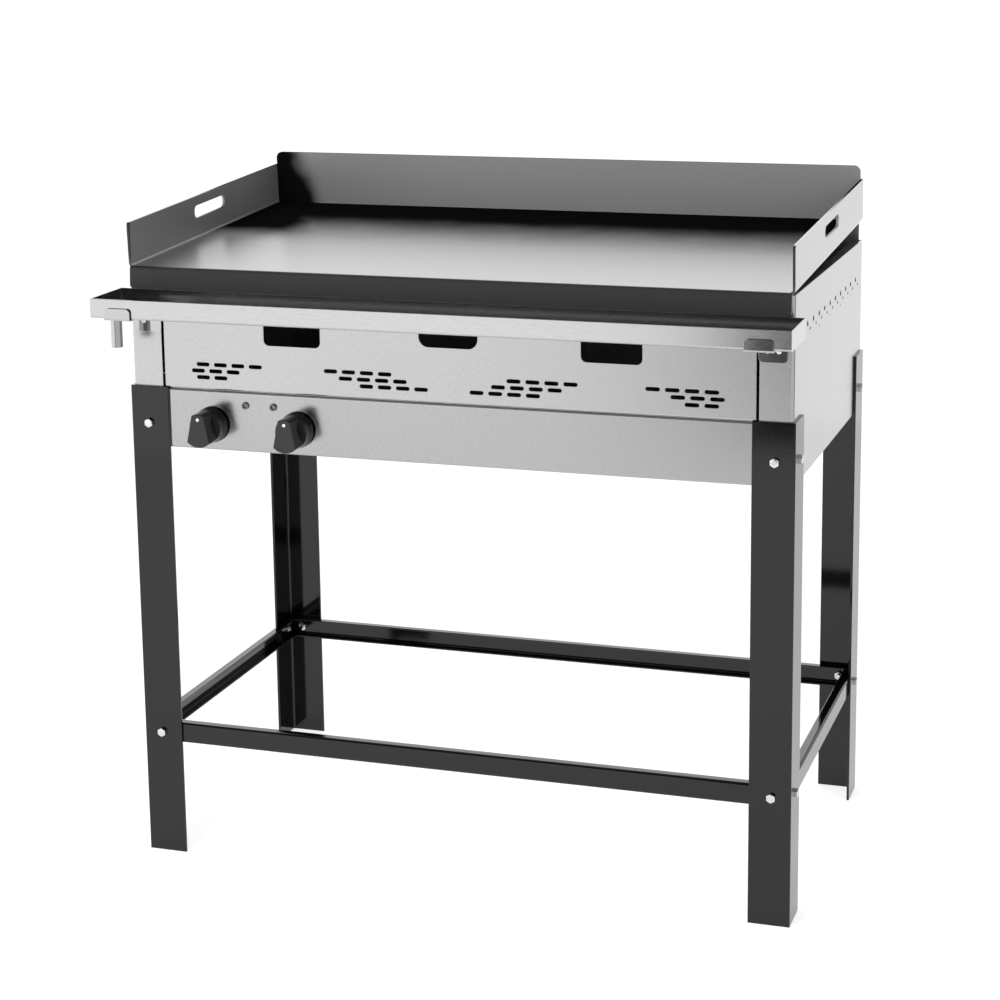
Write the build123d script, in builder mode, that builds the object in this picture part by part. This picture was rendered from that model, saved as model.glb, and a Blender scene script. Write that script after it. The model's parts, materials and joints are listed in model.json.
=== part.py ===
"""Gas burger griddle on a bolted stand of angle iron.

A sloping steel griddle plate lies on a sheet steel casing with two burners inside. The casing is bolted
between four legs, a grease tray hangs on two hooks in front of it, and two gas valves sit behind the
control panel. Millimetres, +Z up, front towards -Y. The origin is on the floor, in the middle of the
overall width and depth.
"""

from build123d import *
import os
from math import atan, cos, radians, sin, tan

os.makedirs("parts", exist_ok=True)

# Stand
stand_width = 825.0
stand_depth = 454.0
leg_height = 603.0
leg_flange = 50.0
leg_thickness = 3.0
leg_edge_radius = 1.0
leg_root_radius = 3.0
rail_height = 158.0
rail_web = 26.0
rail_flange = 12.0
rail_sheet = 2.0
rail_bend = 3.0
rail_end_gap = 1.0

# Bolts and nuts of the stand
bolt_inset = 23.5
bolt_drop = 46.0
bolt_diameter = 6.0
bolt_head_width = 10.0
bolt_head_height = 4.0
bolt_tail = 2.0
nut_height = 5.0
bolt_hole_clearance = 0.3
thread_clearance = 0.05

# Casing
casing_sheet = 1.0
casing_bend = 2.0
casing_overlap = 75.5
casing_height = 219.9
casing_return = 12.0
return_gap = 1.0
corner_flange = 39.5
panel_gap = 3.5
panel_tab_reach = 28.0
panel_tab_lap = 15.0
panel_tab_height = 24.0
control_panel_height = 73.3
seam_flange = 15.0
shield_sheet = 1.2
shield_setback = 3.0
shield_side_gap = 3.5
shield_upstand = 15.0
back_panel_side_gap = 4.5

# Windows and vent slots
window_width = 73.0
window_spacing = 198.0
window_top = 98.0
side_window_bottom = 58.0
side_window_radius = 7.0
middle_window_bottom = 66.2
middle_window_radius = 12.0
slot_length = 17.0
slot_width = 4.7
slot_pitch = 23.0
slot_row_pitch = 8.0
slot_row_bottom = 15.0
inner_row_starts = (34.5, 61.0, 80.0)
inner_row_counts = (4, 4, 4)
outer_row_insets = (51.0, 44.5, 51.0)
outer_row_counts = (2, 3, 4)
vent_pitch = 35.9
vent_first = 75.6
vent_shift = 16.2
vent_drop = 44.4
vent_count = 10
vent_length = 8.0
vent_width = 6.0
small_vent_length = 5.5
small_vent_width = 3.4
small_vent_drop = 8.0
dot_vent_length = 3.4
dot_vent_width = 2.4
dot_vent_first = 147.5
dot_vent_drop = 14.5
dot_vent_count = 5

# Griddle plate
plate_thickness = 3.0
plate_rise = 23.2
plate_bend = 6.0
plate_seat_gap = 0.3
side_wall_height = 52.8
back_wall_height = 70.1
side_wall_radius = 4.0
back_wall_radius = 8.0
handle_length = 90.0
handle_width = 16.0
handle_radius = 7.0
handle_setback = 226.0
handle_height = 32.5
lip_bend = 4.0
lip_drop = 27.0
lip_lean = 4.0
lip_inset = 3.0
lip_corner_radius = 5.5

# Grease tray, its hooks and its spout
tray_sheet = 1.2
tray_bend = 2.5
tray_depth = 79.0
tray_setout = 0.5
tray_wall = 23.3
tray_lip_gap = 0.3
tray_seat_gap = 0.3
hook_drop = 48.7
hook_sheet = 1.5
hook_bend = 2.5
hook_width = 33.0
hook_overhang = 1.0
hook_lip = 13.0
hook_tray_gap = 1.5
hook_flange = 28.0
hook_corner_radius = 5.0
rivet_diameter = 3.2
rivet_head_diameter = 6.4
rivet_head_height = 1.6
rivet_spacing = 13.0
rivet_rise = 13.2
rivet_tail = 1.5
spout_diameter = 14.0
spout_bore = 11.6
spout_length = 42.0
spout_collar_diameter = 14.6
spout_collar = 4.0
spout_end_inset = 11.5
spout_hook_gap = 0.7
spout_setback = 41.5

# Valves and knobs
valve_height = 31.5
valve_edge_inset = 60.5
valve_spacing = 112.5
nose_diameter = 15.0
nose_reach = 2.0
nose_wall = 1.5
nose_hole_clearance = 0.5
cap_neck_diameter = 18.0
cap_neck_length = 6.0
cap_flange = 2.0
valve_diameter = 26.0
valve_bottom = 8.0
valve_stub_diameter = 12.0
outlet_diameter = 10.0
outlet_bore = 4.0
plug_diameter = 16.0
plug_length = 23.4
plug_end_gap = 0.3
plug_port = 5.0
running_clearance = 0.05
stem_diameter = 6.0
stem_flat_depth = 0.8
stem_insertion = 9.7
stem_collar_clearance = 0.8
stem_collar = 1.5
stem_collar_gap = 0.5
stem_hole_clearance = 0.5
knob_travel = 3.0
stem_end_gap = 2.0
spring_wire = 0.8
spring_clearance = 0.8
spring_turns = 4
spring_end_gap = 0.3
knob_diameter = 44.0
knob_body_diameter = 40.6
knob_skirt = 9.0
knob_depth = 37.0
knob_panel_gap = 4.0
knob_wall = 1.8
knob_hollow = 5.0
knob_socket = 20.0
knob_socket_gap = 0.5
knob_edge_radius = 1.0
grip_top_half = 7.5
grip_bottom_half = 16.0
grip_flare = 2.5
grip_floor = 17.0
dot_diameter = 4.0
dot_inset = 6.2
dot_depth = 0.6

# Gas train
pipe_diameter = 20.0
pipe_bore = 15.0
pipe_end = 25.0
pipe_cap_diameter = 24.0
pipe_cap = 8.0
inlet_hex = 22.0
inlet_hex_length = 10.0
inlet_thread_diameter = 16.6
inlet_shoulder_diameter = 17.0
inlet_bore = 8.0
inlet_reach = 11.0
inlet_leg_gap = 5.0
inlet_hole_clearance = 0.4
screw_diameter = 4.0
screw_head_diameter = 9.2
screw_head = 2.4
screw_head_radius = 1.0
screw_recess_length = 4.0
screw_recess_width = 0.9
screw_recess_depth = 1.2
screw_tail = 2.0
screw_rise = 25.7
screw_left_offset = 45.0
screw_right_offset = 31.0
bracket_sheet = 1.5
bracket_margin = 11.0
bracket_cheek = 30.0
bracket_tail = 14.0
bracket_top_margin = 9.0
tube_diameter = 6.0
tube_bore = 4.4
tube_bend = 9.0
tube_straight = 1.5
tube_shield_gap = 9.3
riser_offset = 26.0
riser_hole_clearance = 1.5
injector_hex = 14.0
injector_hex_length = 10.0
injector_neck_diameter = 10.0
injector_nozzle_root = 8.0
injector_nozzle_tip = 4.0
injector_nozzle = 8.0
injector_bore = 1.2
injector_entry = 4.0
burner_diameter = 32.0
burner_wall = 1.5
burner_left_inset = 67.5
burner_right_inset = 57.5
burner_rise = 88.0
front_burner_setback = 137.0
rear_burner_setback = 307.0
burner_collar_diameter = 36.0
burner_collar = 4.0
burner_end = 2.0
port_diameter = 3.0
port_pitch = 25.0
port_margin = 60.0
burner_bracket_sheet = 2.0
burner_bracket_inset = 40.0
burner_bracket_margin = 14.0
burner_bracket_foot = 18.0
burner_hole_clearance = 0.3

# Places that follow from the sizes
hook_front = tray_setout + tray_depth + hook_tray_gap + hook_sheet - leg_thickness
overall_depth = hook_front + stand_depth + bolt_head_height
front_y = hook_front - overall_depth / 2
rear_y = front_y + stand_depth
middle_y = (front_y + rear_y) / 2
half_width = stand_width / 2
body_half = half_width - leg_thickness
panel_y = front_y + leg_thickness
panel_back_y = panel_y + casing_sheet
back_y = rear_y - leg_thickness
body_bolt_height = leg_height - bolt_drop
casing_bottom = leg_height - casing_overlap
casing_top = casing_bottom + casing_height
control_panel_top = casing_bottom + control_panel_height
shield_top = control_panel_top + shield_sheet
front_panel_half = body_half - corner_flange - panel_gap
bolt_hole_radius = bolt_diameter / 2 + bolt_hole_clearance
corner_bend = leg_root_radius + casing_sheet
sheet_back_y = back_y - casing_sheet
back_flange_y = sheet_back_y - casing_return
plate_run = back_y - panel_y
plate_slope = atan(plate_rise / plate_run)
plate_depth = plate_run / cos(plate_slope)
valve_z = casing_bottom + valve_height
left_valve_x = valve_edge_inset - front_panel_half
right_valve_x = left_valve_x + valve_spacing
hook_floor_top = casing_top - hook_drop
hook_x = body_half - corner_flange - hook_overhang + hook_width / 2
tray_bottom = hook_floor_top + tray_seat_gap
tray_front = panel_y - tray_setout - tray_depth
tray_rear = panel_y - tray_setout
spout_x = -(hook_x + hook_width / 2 + spout_hook_gap + spout_collar_diameter / 2)
tray_half = spout_end_inset - spout_x
spout_y = tray_front + spout_setback
pipe_y = front_y + leg_flange + inlet_hex / 2 + inlet_leg_gap
burner_z = shield_top + burner_rise
burner_left_x = burner_left_inset - body_half
burner_length = body_half - burner_right_inset - burner_left_x
burner_lines = {"front": panel_y + front_burner_setback, "rear": panel_y + rear_burner_setback}
injector_face_x = burner_left_x + injector_entry - injector_nozzle - injector_neck_diameter
riser_x = injector_face_x - injector_hex_length - riser_offset
valve_positions = {"left": left_valve_x, "right": right_valve_x}
burner_of_valve = {"left": "front", "right": "rear"}
sides = {"left": -1, "right": 1}
screw_left_x = left_valve_x + screw_left_offset
screw_right_x = right_valve_x - screw_right_offset


def save(part, name):
    """Label a finished piece and write it to its own file."""
    part.label = name
    export_step(part, f"parts/{name}.step")


def bent_section(points, thickness, bend):
    """Section of a bent sheet: the outer face follows the points, the thickness lies to their left."""
    with BuildSketch() as section:
        with BuildLine():
            FilletPolyline(*points, radius=bend)
            offset(amount=thickness, side=Side.LEFT)
        make_face()
    return section.sketch


def facing(x, y, z, direction, x_dir=None):
    """Plane at a point, looking out along a direction."""
    return Plane(origin=(x, y, z), x_dir=x_dir, z_dir=direction)


def bolt_seats(height):
    """Outer bolt seats of the four legs at one height, with the kind of leg face that each is on."""
    seats = []
    for side in sides.values():
        face_x = side * (half_width - bolt_inset)
        seats.append(("face", facing(face_x, front_y, height, (0, -1, 0))))
        seats.append(("face", facing(face_x, rear_y, height, (0, 1, 0))))
        for seat_y in (front_y + bolt_inset, rear_y - bolt_inset):
            seats.append(("flank", facing(side * half_width, seat_y, height, (side, 0, 0))))
    return seats


# Legs: equal angles with the corner outwards, drilled for the casing bolts and the rail bolts
for side_name, side in sides.items():
    for end_name, corner_y, inward in (("front", front_y, 1), ("rear", rear_y, -1)):
        corner_x = side * half_width
        inner_x = corner_x - side * leg_thickness
        inner_y = corner_y + inward * leg_thickness
        tip_x = corner_x - side * leg_flange
        tip_y = corner_y + inward * leg_flange
        with BuildPart() as leg:
            with BuildSketch() as leg_section:
                with BuildLine():
                    Polyline(
                        (corner_x, corner_y),
                        (tip_x, corner_y),
                        (tip_x, inner_y),
                        (inner_x, inner_y),
                        (inner_x, tip_y),
                        (corner_x, tip_y),
                        close=True,
                    )
                make_face()
                fillet(leg_section.vertices().sort_by_distance((corner_x, corner_y))[0], leg_edge_radius)
                fillet(leg_section.vertices().sort_by_distance((inner_x, inner_y))[0], leg_root_radius)
            extrude(amount=leg_height)
            for hole_z in (rail_height, body_bolt_height):
                with Locations(facing(corner_x - side * bolt_inset, corner_y, hole_z, (0, -inward, 0))):
                    Hole(radius=bolt_hole_radius, depth=leg_thickness)
                with Locations(facing(corner_x, corner_y + inward * bolt_inset, hole_z, (side, 0, 0))):
                    Hole(radius=bolt_hole_radius, depth=leg_thickness)
        save(leg.part, f"leg_{end_name}_{side_name}")

# Front and rear rails: channels with their webs against the legs' inner faces, flanges inwards
rail_low = rail_height - rail_web / 2
rail_high = rail_height + rail_web / 2
cross_rail_half = body_half - rail_end_gap
for end_name, web_y, inward in (("front", panel_y, 1), ("rear", back_y, -1)):
    lip_y = web_y + inward * rail_flange
    first_z, last_z = (rail_high, rail_low) if inward > 0 else (rail_low, rail_high)
    rail_section = bent_section(
        [(lip_y, first_z), (web_y, first_z), (web_y, last_z), (lip_y, last_z)], rail_sheet, rail_bend
    )
    with BuildPart() as cross_rail:
        with BuildSketch(Plane.YZ):
            add(rail_section)
        extrude(amount=cross_rail_half, both=True)
        for side in sides.values():
            with Locations(facing(side * (half_width - bolt_inset), web_y, rail_height, (0, -inward, 0))):
                Hole(radius=bolt_hole_radius, depth=rail_sheet)
    save(cross_rail.part, f"rail_{end_name}")

# Side rails: the same channel between the cross rails' flanges
side_rail_half = stand_depth / 2 - leg_thickness - rail_flange - rail_end_gap
for side_name, side in sides.items():
    web_x = side * body_half
    lip_x = web_x - side * rail_flange
    first_z, last_z = (rail_high, rail_low) if side < 0 else (rail_low, rail_high)
    rail_section = bent_section(
        [(lip_x, first_z), (web_x, first_z), (web_x, last_z), (lip_x, last_z)], rail_sheet, rail_bend
    )
    with BuildPart() as side_rail:
        with BuildSketch(Plane.XZ.offset(-middle_y)):
            add(rail_section)
        extrude(amount=side_rail_half, both=True)
        for hole_y in (front_y + bolt_inset, rear_y - bolt_inset):
            with Locations(facing(web_x, hole_y, rail_height, (side, 0, 0))):
                Hole(radius=bolt_hole_radius, depth=rail_sheet)
    save(side_rail.part, f"rail_{side_name}")

# Hexagon bolts and nuts, one group at the casing and one at the rails
casing_grip = {"face": leg_thickness + 2 * casing_sheet, "flank": leg_thickness + casing_sheet}
rail_grip = {"face": leg_thickness + rail_sheet, "flank": leg_thickness + rail_sheet}
for group, seat_height, grip in (("leg", body_bolt_height, casing_grip), ("rail", rail_height, rail_grip)):
    with BuildPart() as bolts:
        for kind, seat in bolt_seats(seat_height):
            with BuildSketch(seat):
                RegularPolygon(radius=bolt_head_width / 2, side_count=6, major_radius=False)
            extrude(amount=bolt_head_height)
            with BuildSketch(seat):
                Circle(bolt_diameter / 2)
            extrude(amount=-(grip[kind] + nut_height + bolt_tail))
    save(bolts.part, f"{group}_bolts")
    with BuildPart() as nuts:
        for kind, seat in bolt_seats(seat_height):
            with BuildSketch(seat.offset(-grip[kind])):
                RegularPolygon(radius=bolt_head_width / 2, side_count=6, major_radius=False)
                Circle(bolt_diameter / 2 + thread_clearance, mode=Mode.SUBTRACT)
            extrude(amount=-nut_height)
    save(nuts.part, f"{group}_nuts")

# Side panels: a wall with corner flanges front and rear, and returns at top and bottom
hook_rivet_z = hook_floor_top - hook_flange + rivet_rise
return_front_y = panel_y + corner_bend
return_rear_y = back_flange_y - return_gap
for side_name, side in sides.items():
    wall_x = side * body_half
    tip_x = wall_x - side * corner_flange
    ends = (panel_y, back_y) if side < 0 else (back_y, panel_y)
    panel_section = bent_section(
        [(tip_x, ends[1]), (wall_x, ends[1]), (wall_x, ends[0]), (tip_x, ends[0])], casing_sheet, corner_bend
    )
    return_x = wall_x - side * (casing_sheet + casing_return) / 2
    with BuildPart() as side_panel:
        with BuildSketch(Plane.XY.offset(casing_bottom)):
            add(panel_section)
        extrude(amount=casing_height)
        for level in (casing_bottom, casing_top - casing_sheet):
            with BuildSketch(Plane.XY.offset(level)):
                with Locations((return_x, (return_front_y + return_rear_y) / 2)):
                    Rectangle(casing_return - casing_sheet, return_rear_y - return_front_y)
            extrude(amount=casing_sheet)
        with BuildSketch(facing(wall_x, panel_y, casing_top, (side, 0, 0), x_dir=(0, 1, 0))):
            vent_rows = (
                (vent_first, vent_drop, vent_pitch, vent_count, vent_length, vent_width),
                (
                    vent_first + vent_shift,
                    vent_drop + small_vent_drop,
                    vent_pitch,
                    vent_count,
                    small_vent_length,
                    small_vent_width,
                ),
                (
                    dot_vent_first,
                    vent_drop + dot_vent_drop,
                    2 * vent_pitch,
                    dot_vent_count,
                    dot_vent_length,
                    dot_vent_width,
                ),
            )
            for first, drop, pitch, count, length, width in vent_rows:
                downward = -side * drop
                for index in range(count):
                    with Locations((first + index * pitch, downward)):
                        SlotOverall(length, width)
        extrude(amount=-casing_sheet, mode=Mode.SUBTRACT)
        for hole_y in (front_y + bolt_inset, rear_y - bolt_inset):
            with Locations(facing(wall_x, hole_y, body_bolt_height, (side, 0, 0))):
                Hole(radius=bolt_hole_radius, depth=casing_sheet)
        for face_y, outward in ((panel_y, -1), (back_y, 1)):
            bolt_x = side * (half_width - bolt_inset)
            with Locations(facing(bolt_x, face_y, body_bolt_height, (0, outward, 0))):
                Hole(radius=bolt_hole_radius, depth=casing_sheet)
        for shift in (-rivet_spacing / 2, rivet_spacing / 2):
            with Locations(facing(side * hook_x + shift, panel_y, hook_rivet_z, (0, -1, 0))):
                Hole(radius=rivet_diameter / 2 + thread_clearance, depth=casing_sheet)
        if side < 0:
            with Locations(facing(wall_x, pipe_y, valve_z, (side, 0, 0))):
                Hole(radius=inlet_shoulder_diameter / 2 + inlet_hole_clearance, depth=casing_sheet)
    save(side_panel.part, f"side_panel_{side_name}")

# Control panel: bent back at top and bottom, with bolted tabs behind the corner flanges
control_section = bent_section(
    [
        (panel_y + seam_flange, control_panel_top),
        (panel_y, control_panel_top),
        (panel_y, casing_bottom),
        (panel_y + casing_return, casing_bottom),
    ],
    casing_sheet,
    casing_bend,
)
tab_length = panel_tab_reach + panel_gap + panel_tab_lap
tab_middle = front_panel_half - panel_tab_lap + tab_length / 2
with BuildPart() as control_panel:
    with BuildSketch(Plane.YZ):
        add(control_section)
    extrude(amount=front_panel_half, both=True)
    with BuildSketch(Plane.XZ.offset(-panel_back_y)):
        for side in sides.values():
            with Locations((side * tab_middle, body_bolt_height)):
                Rectangle(tab_length, panel_tab_height)
    extrude(amount=-casing_sheet)
    for side in sides.values():
        with Locations(facing(side * (half_width - bolt_inset), panel_back_y, body_bolt_height, (0, -1, 0))):
            Hole(radius=bolt_hole_radius, depth=casing_sheet)
    for valve_x in valve_positions.values():
        with Locations(facing(valve_x, panel_y, valve_z, (0, -1, 0))):
            Hole(radius=nose_diameter / 2 + nose_hole_clearance, depth=casing_sheet)
    for screw_x in (screw_left_x, screw_right_x):
        with Locations(facing(screw_x, panel_y, valve_z + screw_rise, (0, -1, 0))):
            Hole(radius=screw_diameter / 2 + thread_clearance, depth=casing_sheet)
save(control_panel.part, "control_panel")

# Upper front panel: three windows over rows of vent slots
upper_section = bent_section(
    [
        (panel_y + casing_return, casing_top),
        (panel_y, casing_top),
        (panel_y, shield_top),
        (panel_y + seam_flange, shield_top),
    ],
    casing_sheet,
    casing_bend,
)
upper_tab_z = casing_top - casing_bend - panel_tab_height / 2
with BuildPart() as upper_panel:
    with BuildSketch(Plane.YZ):
        add(upper_section)
    extrude(amount=front_panel_half, both=True)
    with BuildSketch(Plane.XZ.offset(-panel_back_y)):
        for side in sides.values():
            with Locations((side * tab_middle, upper_tab_z)):
                Rectangle(tab_length, panel_tab_height)
    extrude(amount=-casing_sheet)
    with BuildSketch(Plane.XZ.offset(-panel_y)):
        for window_x, bottom, radius in (
            (-window_spacing, side_window_bottom, side_window_radius),
            (0, middle_window_bottom, middle_window_radius),
            (window_spacing, side_window_bottom, side_window_radius),
        ):
            with Locations((window_x, shield_top + (bottom + window_top) / 2)):
                RectangleRounded(window_width, window_top - bottom, radius)
        outer_row_starts = [front_panel_half - inset for inset in outer_row_insets]
        for starts, counts, step in (
            (inner_row_starts, inner_row_counts, slot_pitch),
            (outer_row_starts, outer_row_counts, -slot_pitch),
        ):
            for row, (start, count) in enumerate(zip(starts, counts)):
                row_z = shield_top + slot_row_bottom + row * slot_row_pitch
                for index in range(count):
                    for side in sides.values():
                        with Locations((side * (start + index * step), row_z)):
                            SlotOverall(slot_length, slot_width)
    extrude(amount=-casing_sheet, mode=Mode.SUBTRACT)
save(upper_panel.part, "upper_front_panel")

# Back panel: stands inside the rear corner flanges and reaches up to the plate's high end
plate_low_z = casing_top + plate_seat_gap
back_panel_top = casing_top + (back_flange_y - panel_y) * tan(plate_slope)
back_section = bent_section(
    [
        (back_flange_y, casing_bottom),
        (sheet_back_y, casing_bottom),
        (sheet_back_y, back_panel_top),
        (back_flange_y, back_panel_top),
    ],
    casing_sheet,
    casing_bend,
)
with BuildPart() as back_panel:
    with BuildSketch(Plane.YZ):
        add(back_section)
    extrude(amount=body_half - back_panel_side_gap, both=True)
    for side in sides.values():
        with Locations(facing(side * (half_width - bolt_inset), sheet_back_y, body_bolt_height, (0, 1, 0))):
            Hole(radius=bolt_hole_radius, depth=casing_sheet)
save(back_panel.part, "back_panel")

# Heat shield: lies in the seam between the front panels and turns up at the back panel
shield_rear_y = sheet_back_y - casing_sheet
with BuildPart() as heat_shield:
    with BuildSketch(Plane.XY.offset(control_panel_top)):
        with Locations((0, (panel_y + shield_setback + shield_rear_y) / 2)):
            Rectangle(2 * (body_half - shield_side_gap), shield_rear_y - panel_y - shield_setback)
        for burner_y in burner_lines.values():
            with Locations((riser_x, burner_y)):
                Circle(tube_diameter / 2 + riser_hole_clearance, mode=Mode.SUBTRACT)
    extrude(amount=shield_sheet)
    with BuildSketch(Plane.XZ.offset(-shield_rear_y)):
        with Locations((0, control_panel_top + shield_upstand / 2)):
            Rectangle(2 * (body_half - shield_side_gap), shield_upstand)
    extrude(amount=shield_sheet)
save(heat_shield.part, "heat_shield")

# Tray hooks: a riveted flange, a floor under the tray and a short lip in front of it
hook_under = hook_floor_top - hook_sheet
hook_lip_y = tray_front - hook_tray_gap - hook_sheet
hook_section = bent_section(
    [
        (hook_lip_y, hook_floor_top + hook_lip),
        (hook_lip_y, hook_under),
        (panel_y - hook_sheet, hook_under),
        (panel_y - hook_sheet, hook_floor_top - hook_flange),
    ],
    hook_sheet,
    hook_bend,
)
for side_name, side in sides.items():
    with BuildPart() as hook:
        with BuildSketch(Plane.YZ.offset(side * hook_x)):
            add(hook_section)
        extrude(amount=hook_width / 2, both=True)
        across = hook.edges().filter_by(Axis.Y)
        fillet(across.sort_by(Axis.Z)[-2:], hook_corner_radius)
        across = hook.edges().filter_by(Axis.Y)
        fillet(across.sort_by(Axis.Z)[:2], hook_corner_radius)
        for shift in (-rivet_spacing / 2, rivet_spacing / 2):
            with Locations(facing(side * hook_x + shift, panel_y - hook_sheet, hook_rivet_z, (0, -1, 0))):
                Hole(radius=rivet_diameter / 2 + thread_clearance, depth=hook_sheet)
    save(hook.part, f"tray_hook_{side_name}")

with BuildPart() as rivets:
    for side in sides.values():
        for shift in (-rivet_spacing / 2, rivet_spacing / 2):
            seat = facing(side * hook_x + shift, panel_y - hook_sheet, hook_rivet_z, (0, -1, 0))
            with BuildSketch(seat):
                Circle(rivet_diameter / 2)
            extrude(amount=-(hook_sheet + casing_sheet + rivet_tail))
            with BuildSketch(seat):
                Circle(rivet_head_diameter / 2)
            with BuildSketch(seat.offset(rivet_head_height)):
                Circle(rivet_diameter / 2)
            loft()
save(rivets.part, "hook_rivets")

# Grease tray: a trough that reaches back under the plate's lip, up to the casing
lip_angle = plate_slope + radians(lip_lean)
lip_start = -lip_bend
lip_foot = (lip_start - lip_drop * sin(lip_angle), plate_thickness - lip_drop * cos(lip_angle))
lip_foot_z = plate_low_z + lip_foot[0] * sin(plate_slope) + lip_foot[1] * cos(plate_slope)
tray_rear_top = lip_foot_z - plate_thickness * sin(radians(lip_lean)) - tray_lip_gap
tray_section = bent_section(
    [
        (tray_front, tray_bottom + tray_wall),
        (tray_front, tray_bottom),
        (tray_rear, tray_bottom),
        (tray_rear, tray_rear_top),
    ],
    tray_sheet,
    tray_bend,
)
with BuildPart() as tray:
    with BuildSketch(Plane.YZ):
        add(tray_section)
    extrude(amount=tray_half, both=True)
    for side in sides.values():
        with BuildSketch(Plane.YZ.offset(side * tray_half)) as end_wall:
            with BuildLine():
                Polyline(
                    (tray_front, tray_bottom + tray_wall),
                    (tray_front, tray_bottom),
                    (tray_rear, tray_bottom),
                    (tray_rear, tray_rear_top),
                    close=True,
                )
            make_face()
            fillet(end_wall.vertices().sort_by(Axis.Y)[:2], tray_bend)
        extrude(amount=-side * tray_sheet)
    with Locations((spout_x, spout_y, tray_bottom + tray_sheet)):
        Hole(radius=spout_bore / 2, depth=tray_sheet)
save(tray.part, "grease_tray")

with BuildPart() as spout:
    with BuildSketch(Plane.XY.offset(tray_bottom)):
        with Locations((spout_x, spout_y)):
            Circle(spout_diameter / 2)
            Circle(spout_bore / 2, mode=Mode.SUBTRACT)
    extrude(amount=-spout_length)
    with BuildSketch(Plane.XY.offset(tray_bottom)):
        with Locations((spout_x, spout_y)):
            Circle(spout_collar_diameter / 2)
            Circle(spout_bore / 2, mode=Mode.SUBTRACT)
    extrude(amount=-spout_collar)
save(spout.part, "drain_spout")

# Griddle plate, drawn on its own sloping plane: X across, Y up the slope, Z out of the cooking surface
plate_plane = Plane(
    origin=(0, panel_y, plate_low_z), x_dir=(1, 0, 0), z_dir=(0, -sin(plate_slope), cos(plate_slope))
)
plate_side = Plane(origin=plate_plane.origin, x_dir=plate_plane.y_dir, z_dir=(1, 0, 0))
plate_front = Plane(origin=plate_plane.origin, x_dir=(1, 0, 0), z_dir=-plate_plane.y_dir)
plate_rear = Plane(
    origin=plate_plane.origin + plate_plane.y_dir * plate_depth, x_dir=(1, 0, 0), z_dir=-plate_plane.y_dir
)
side_wall_top = plate_thickness + side_wall_height
back_wall_top = plate_thickness + back_wall_height
back_wall_half = body_half - plate_thickness
floor_section = bent_section(
    [(-body_half, side_wall_top), (-body_half, 0), (body_half, 0), (body_half, side_wall_top)],
    plate_thickness,
    plate_bend,
)
lip_section = bent_section(
    [(lip_bend, plate_thickness), (lip_start, plate_thickness), lip_foot], plate_thickness, lip_bend
)
with BuildPart() as plate:
    with BuildSketch(plate_front):
        add(floor_section)
    extrude(amount=-plate_depth)
    front_corners = [edge for edge in plate.edges().filter_by(Axis.X) if edge.length < 2 * plate_thickness]
    fillet(ShapeList(front_corners).sort_by(Axis.Y)[:2], side_wall_radius)
    with BuildSketch(plate_rear) as back_wall:
        with BuildLine():
            Polyline(
                (-back_wall_half, 0),
                (back_wall_half, 0),
                (back_wall_half, back_wall_top),
                (-back_wall_half, back_wall_top),
                close=True,
            )
        make_face()
        fillet(back_wall.vertices().sort_by(Axis.Y)[:2], plate_bend)
        fillet(back_wall.vertices().sort_by(Axis.Y)[-2:], back_wall_radius)
    extrude(amount=plate_thickness)
    with BuildSketch(plate_side):
        add(lip_section)
    extrude(amount=body_half - lip_inset, both=True)
    lip_corners = plate.edges().filter_by(lambda edge: abs(edge.length - plate_thickness) < thread_clearance)
    fillet(lip_corners.sort_by(Axis.Z)[:2], lip_corner_radius)
    with BuildSketch(plate_side):
        with Locations((handle_setback, plate_thickness + handle_height)):
            RectangleRounded(handle_length, handle_width, handle_radius)
    extrude(amount=stand_width, both=True, mode=Mode.SUBTRACT)
save(plate.part, "griddle_plate")

# Valves: body on the manifold, cap with the nose, plug, sprung stem and knob
cap_front_y = panel_y - nose_reach
cap_back_y = panel_back_y + cap_neck_length + cap_flange
pipe_front_y = pipe_y - pipe_diameter / 2
plug_front_y = cap_back_y + plug_end_gap
plug_back_y = plug_front_y + plug_length
valve_bore_end = plug_back_y + plug_end_gap
valve_back_y = valve_bore_end + valve_bottom
valve_middle_y = (cap_back_y + valve_back_y) / 2
collar_front_y = cap_front_y + nose_wall + stem_collar_gap
collar_back_y = collar_front_y + stem_collar
stem_rear_y = plug_front_y + stem_insertion
knob_back_y = panel_y - knob_panel_gap
stem_front_y = knob_back_y - knob_hollow - knob_socket + knob_socket_gap
grip_reach = knob_body_diameter / 2
cap_cavity_diameter = nose_diameter - 2 * nose_wall
stem_collar_diameter = cap_cavity_diameter - 2 * stem_collar_clearance
stem_flat = stem_diameter / 2 - stem_flat_depth
spring_diameter = stem_diameter + spring_wire + 2 * spring_clearance
knob_hollow_diameter = knob_body_diameter - 2 * knob_wall
tube_z = control_panel_top - tube_shield_gap - tube_diameter / 2
outlet_z = tube_z - tube_bend - tube_straight
front_dir = (0, -1, 0)
across = (1, 0, 0)
flat_align = (Align.CENTER, Align.MIN)

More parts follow.
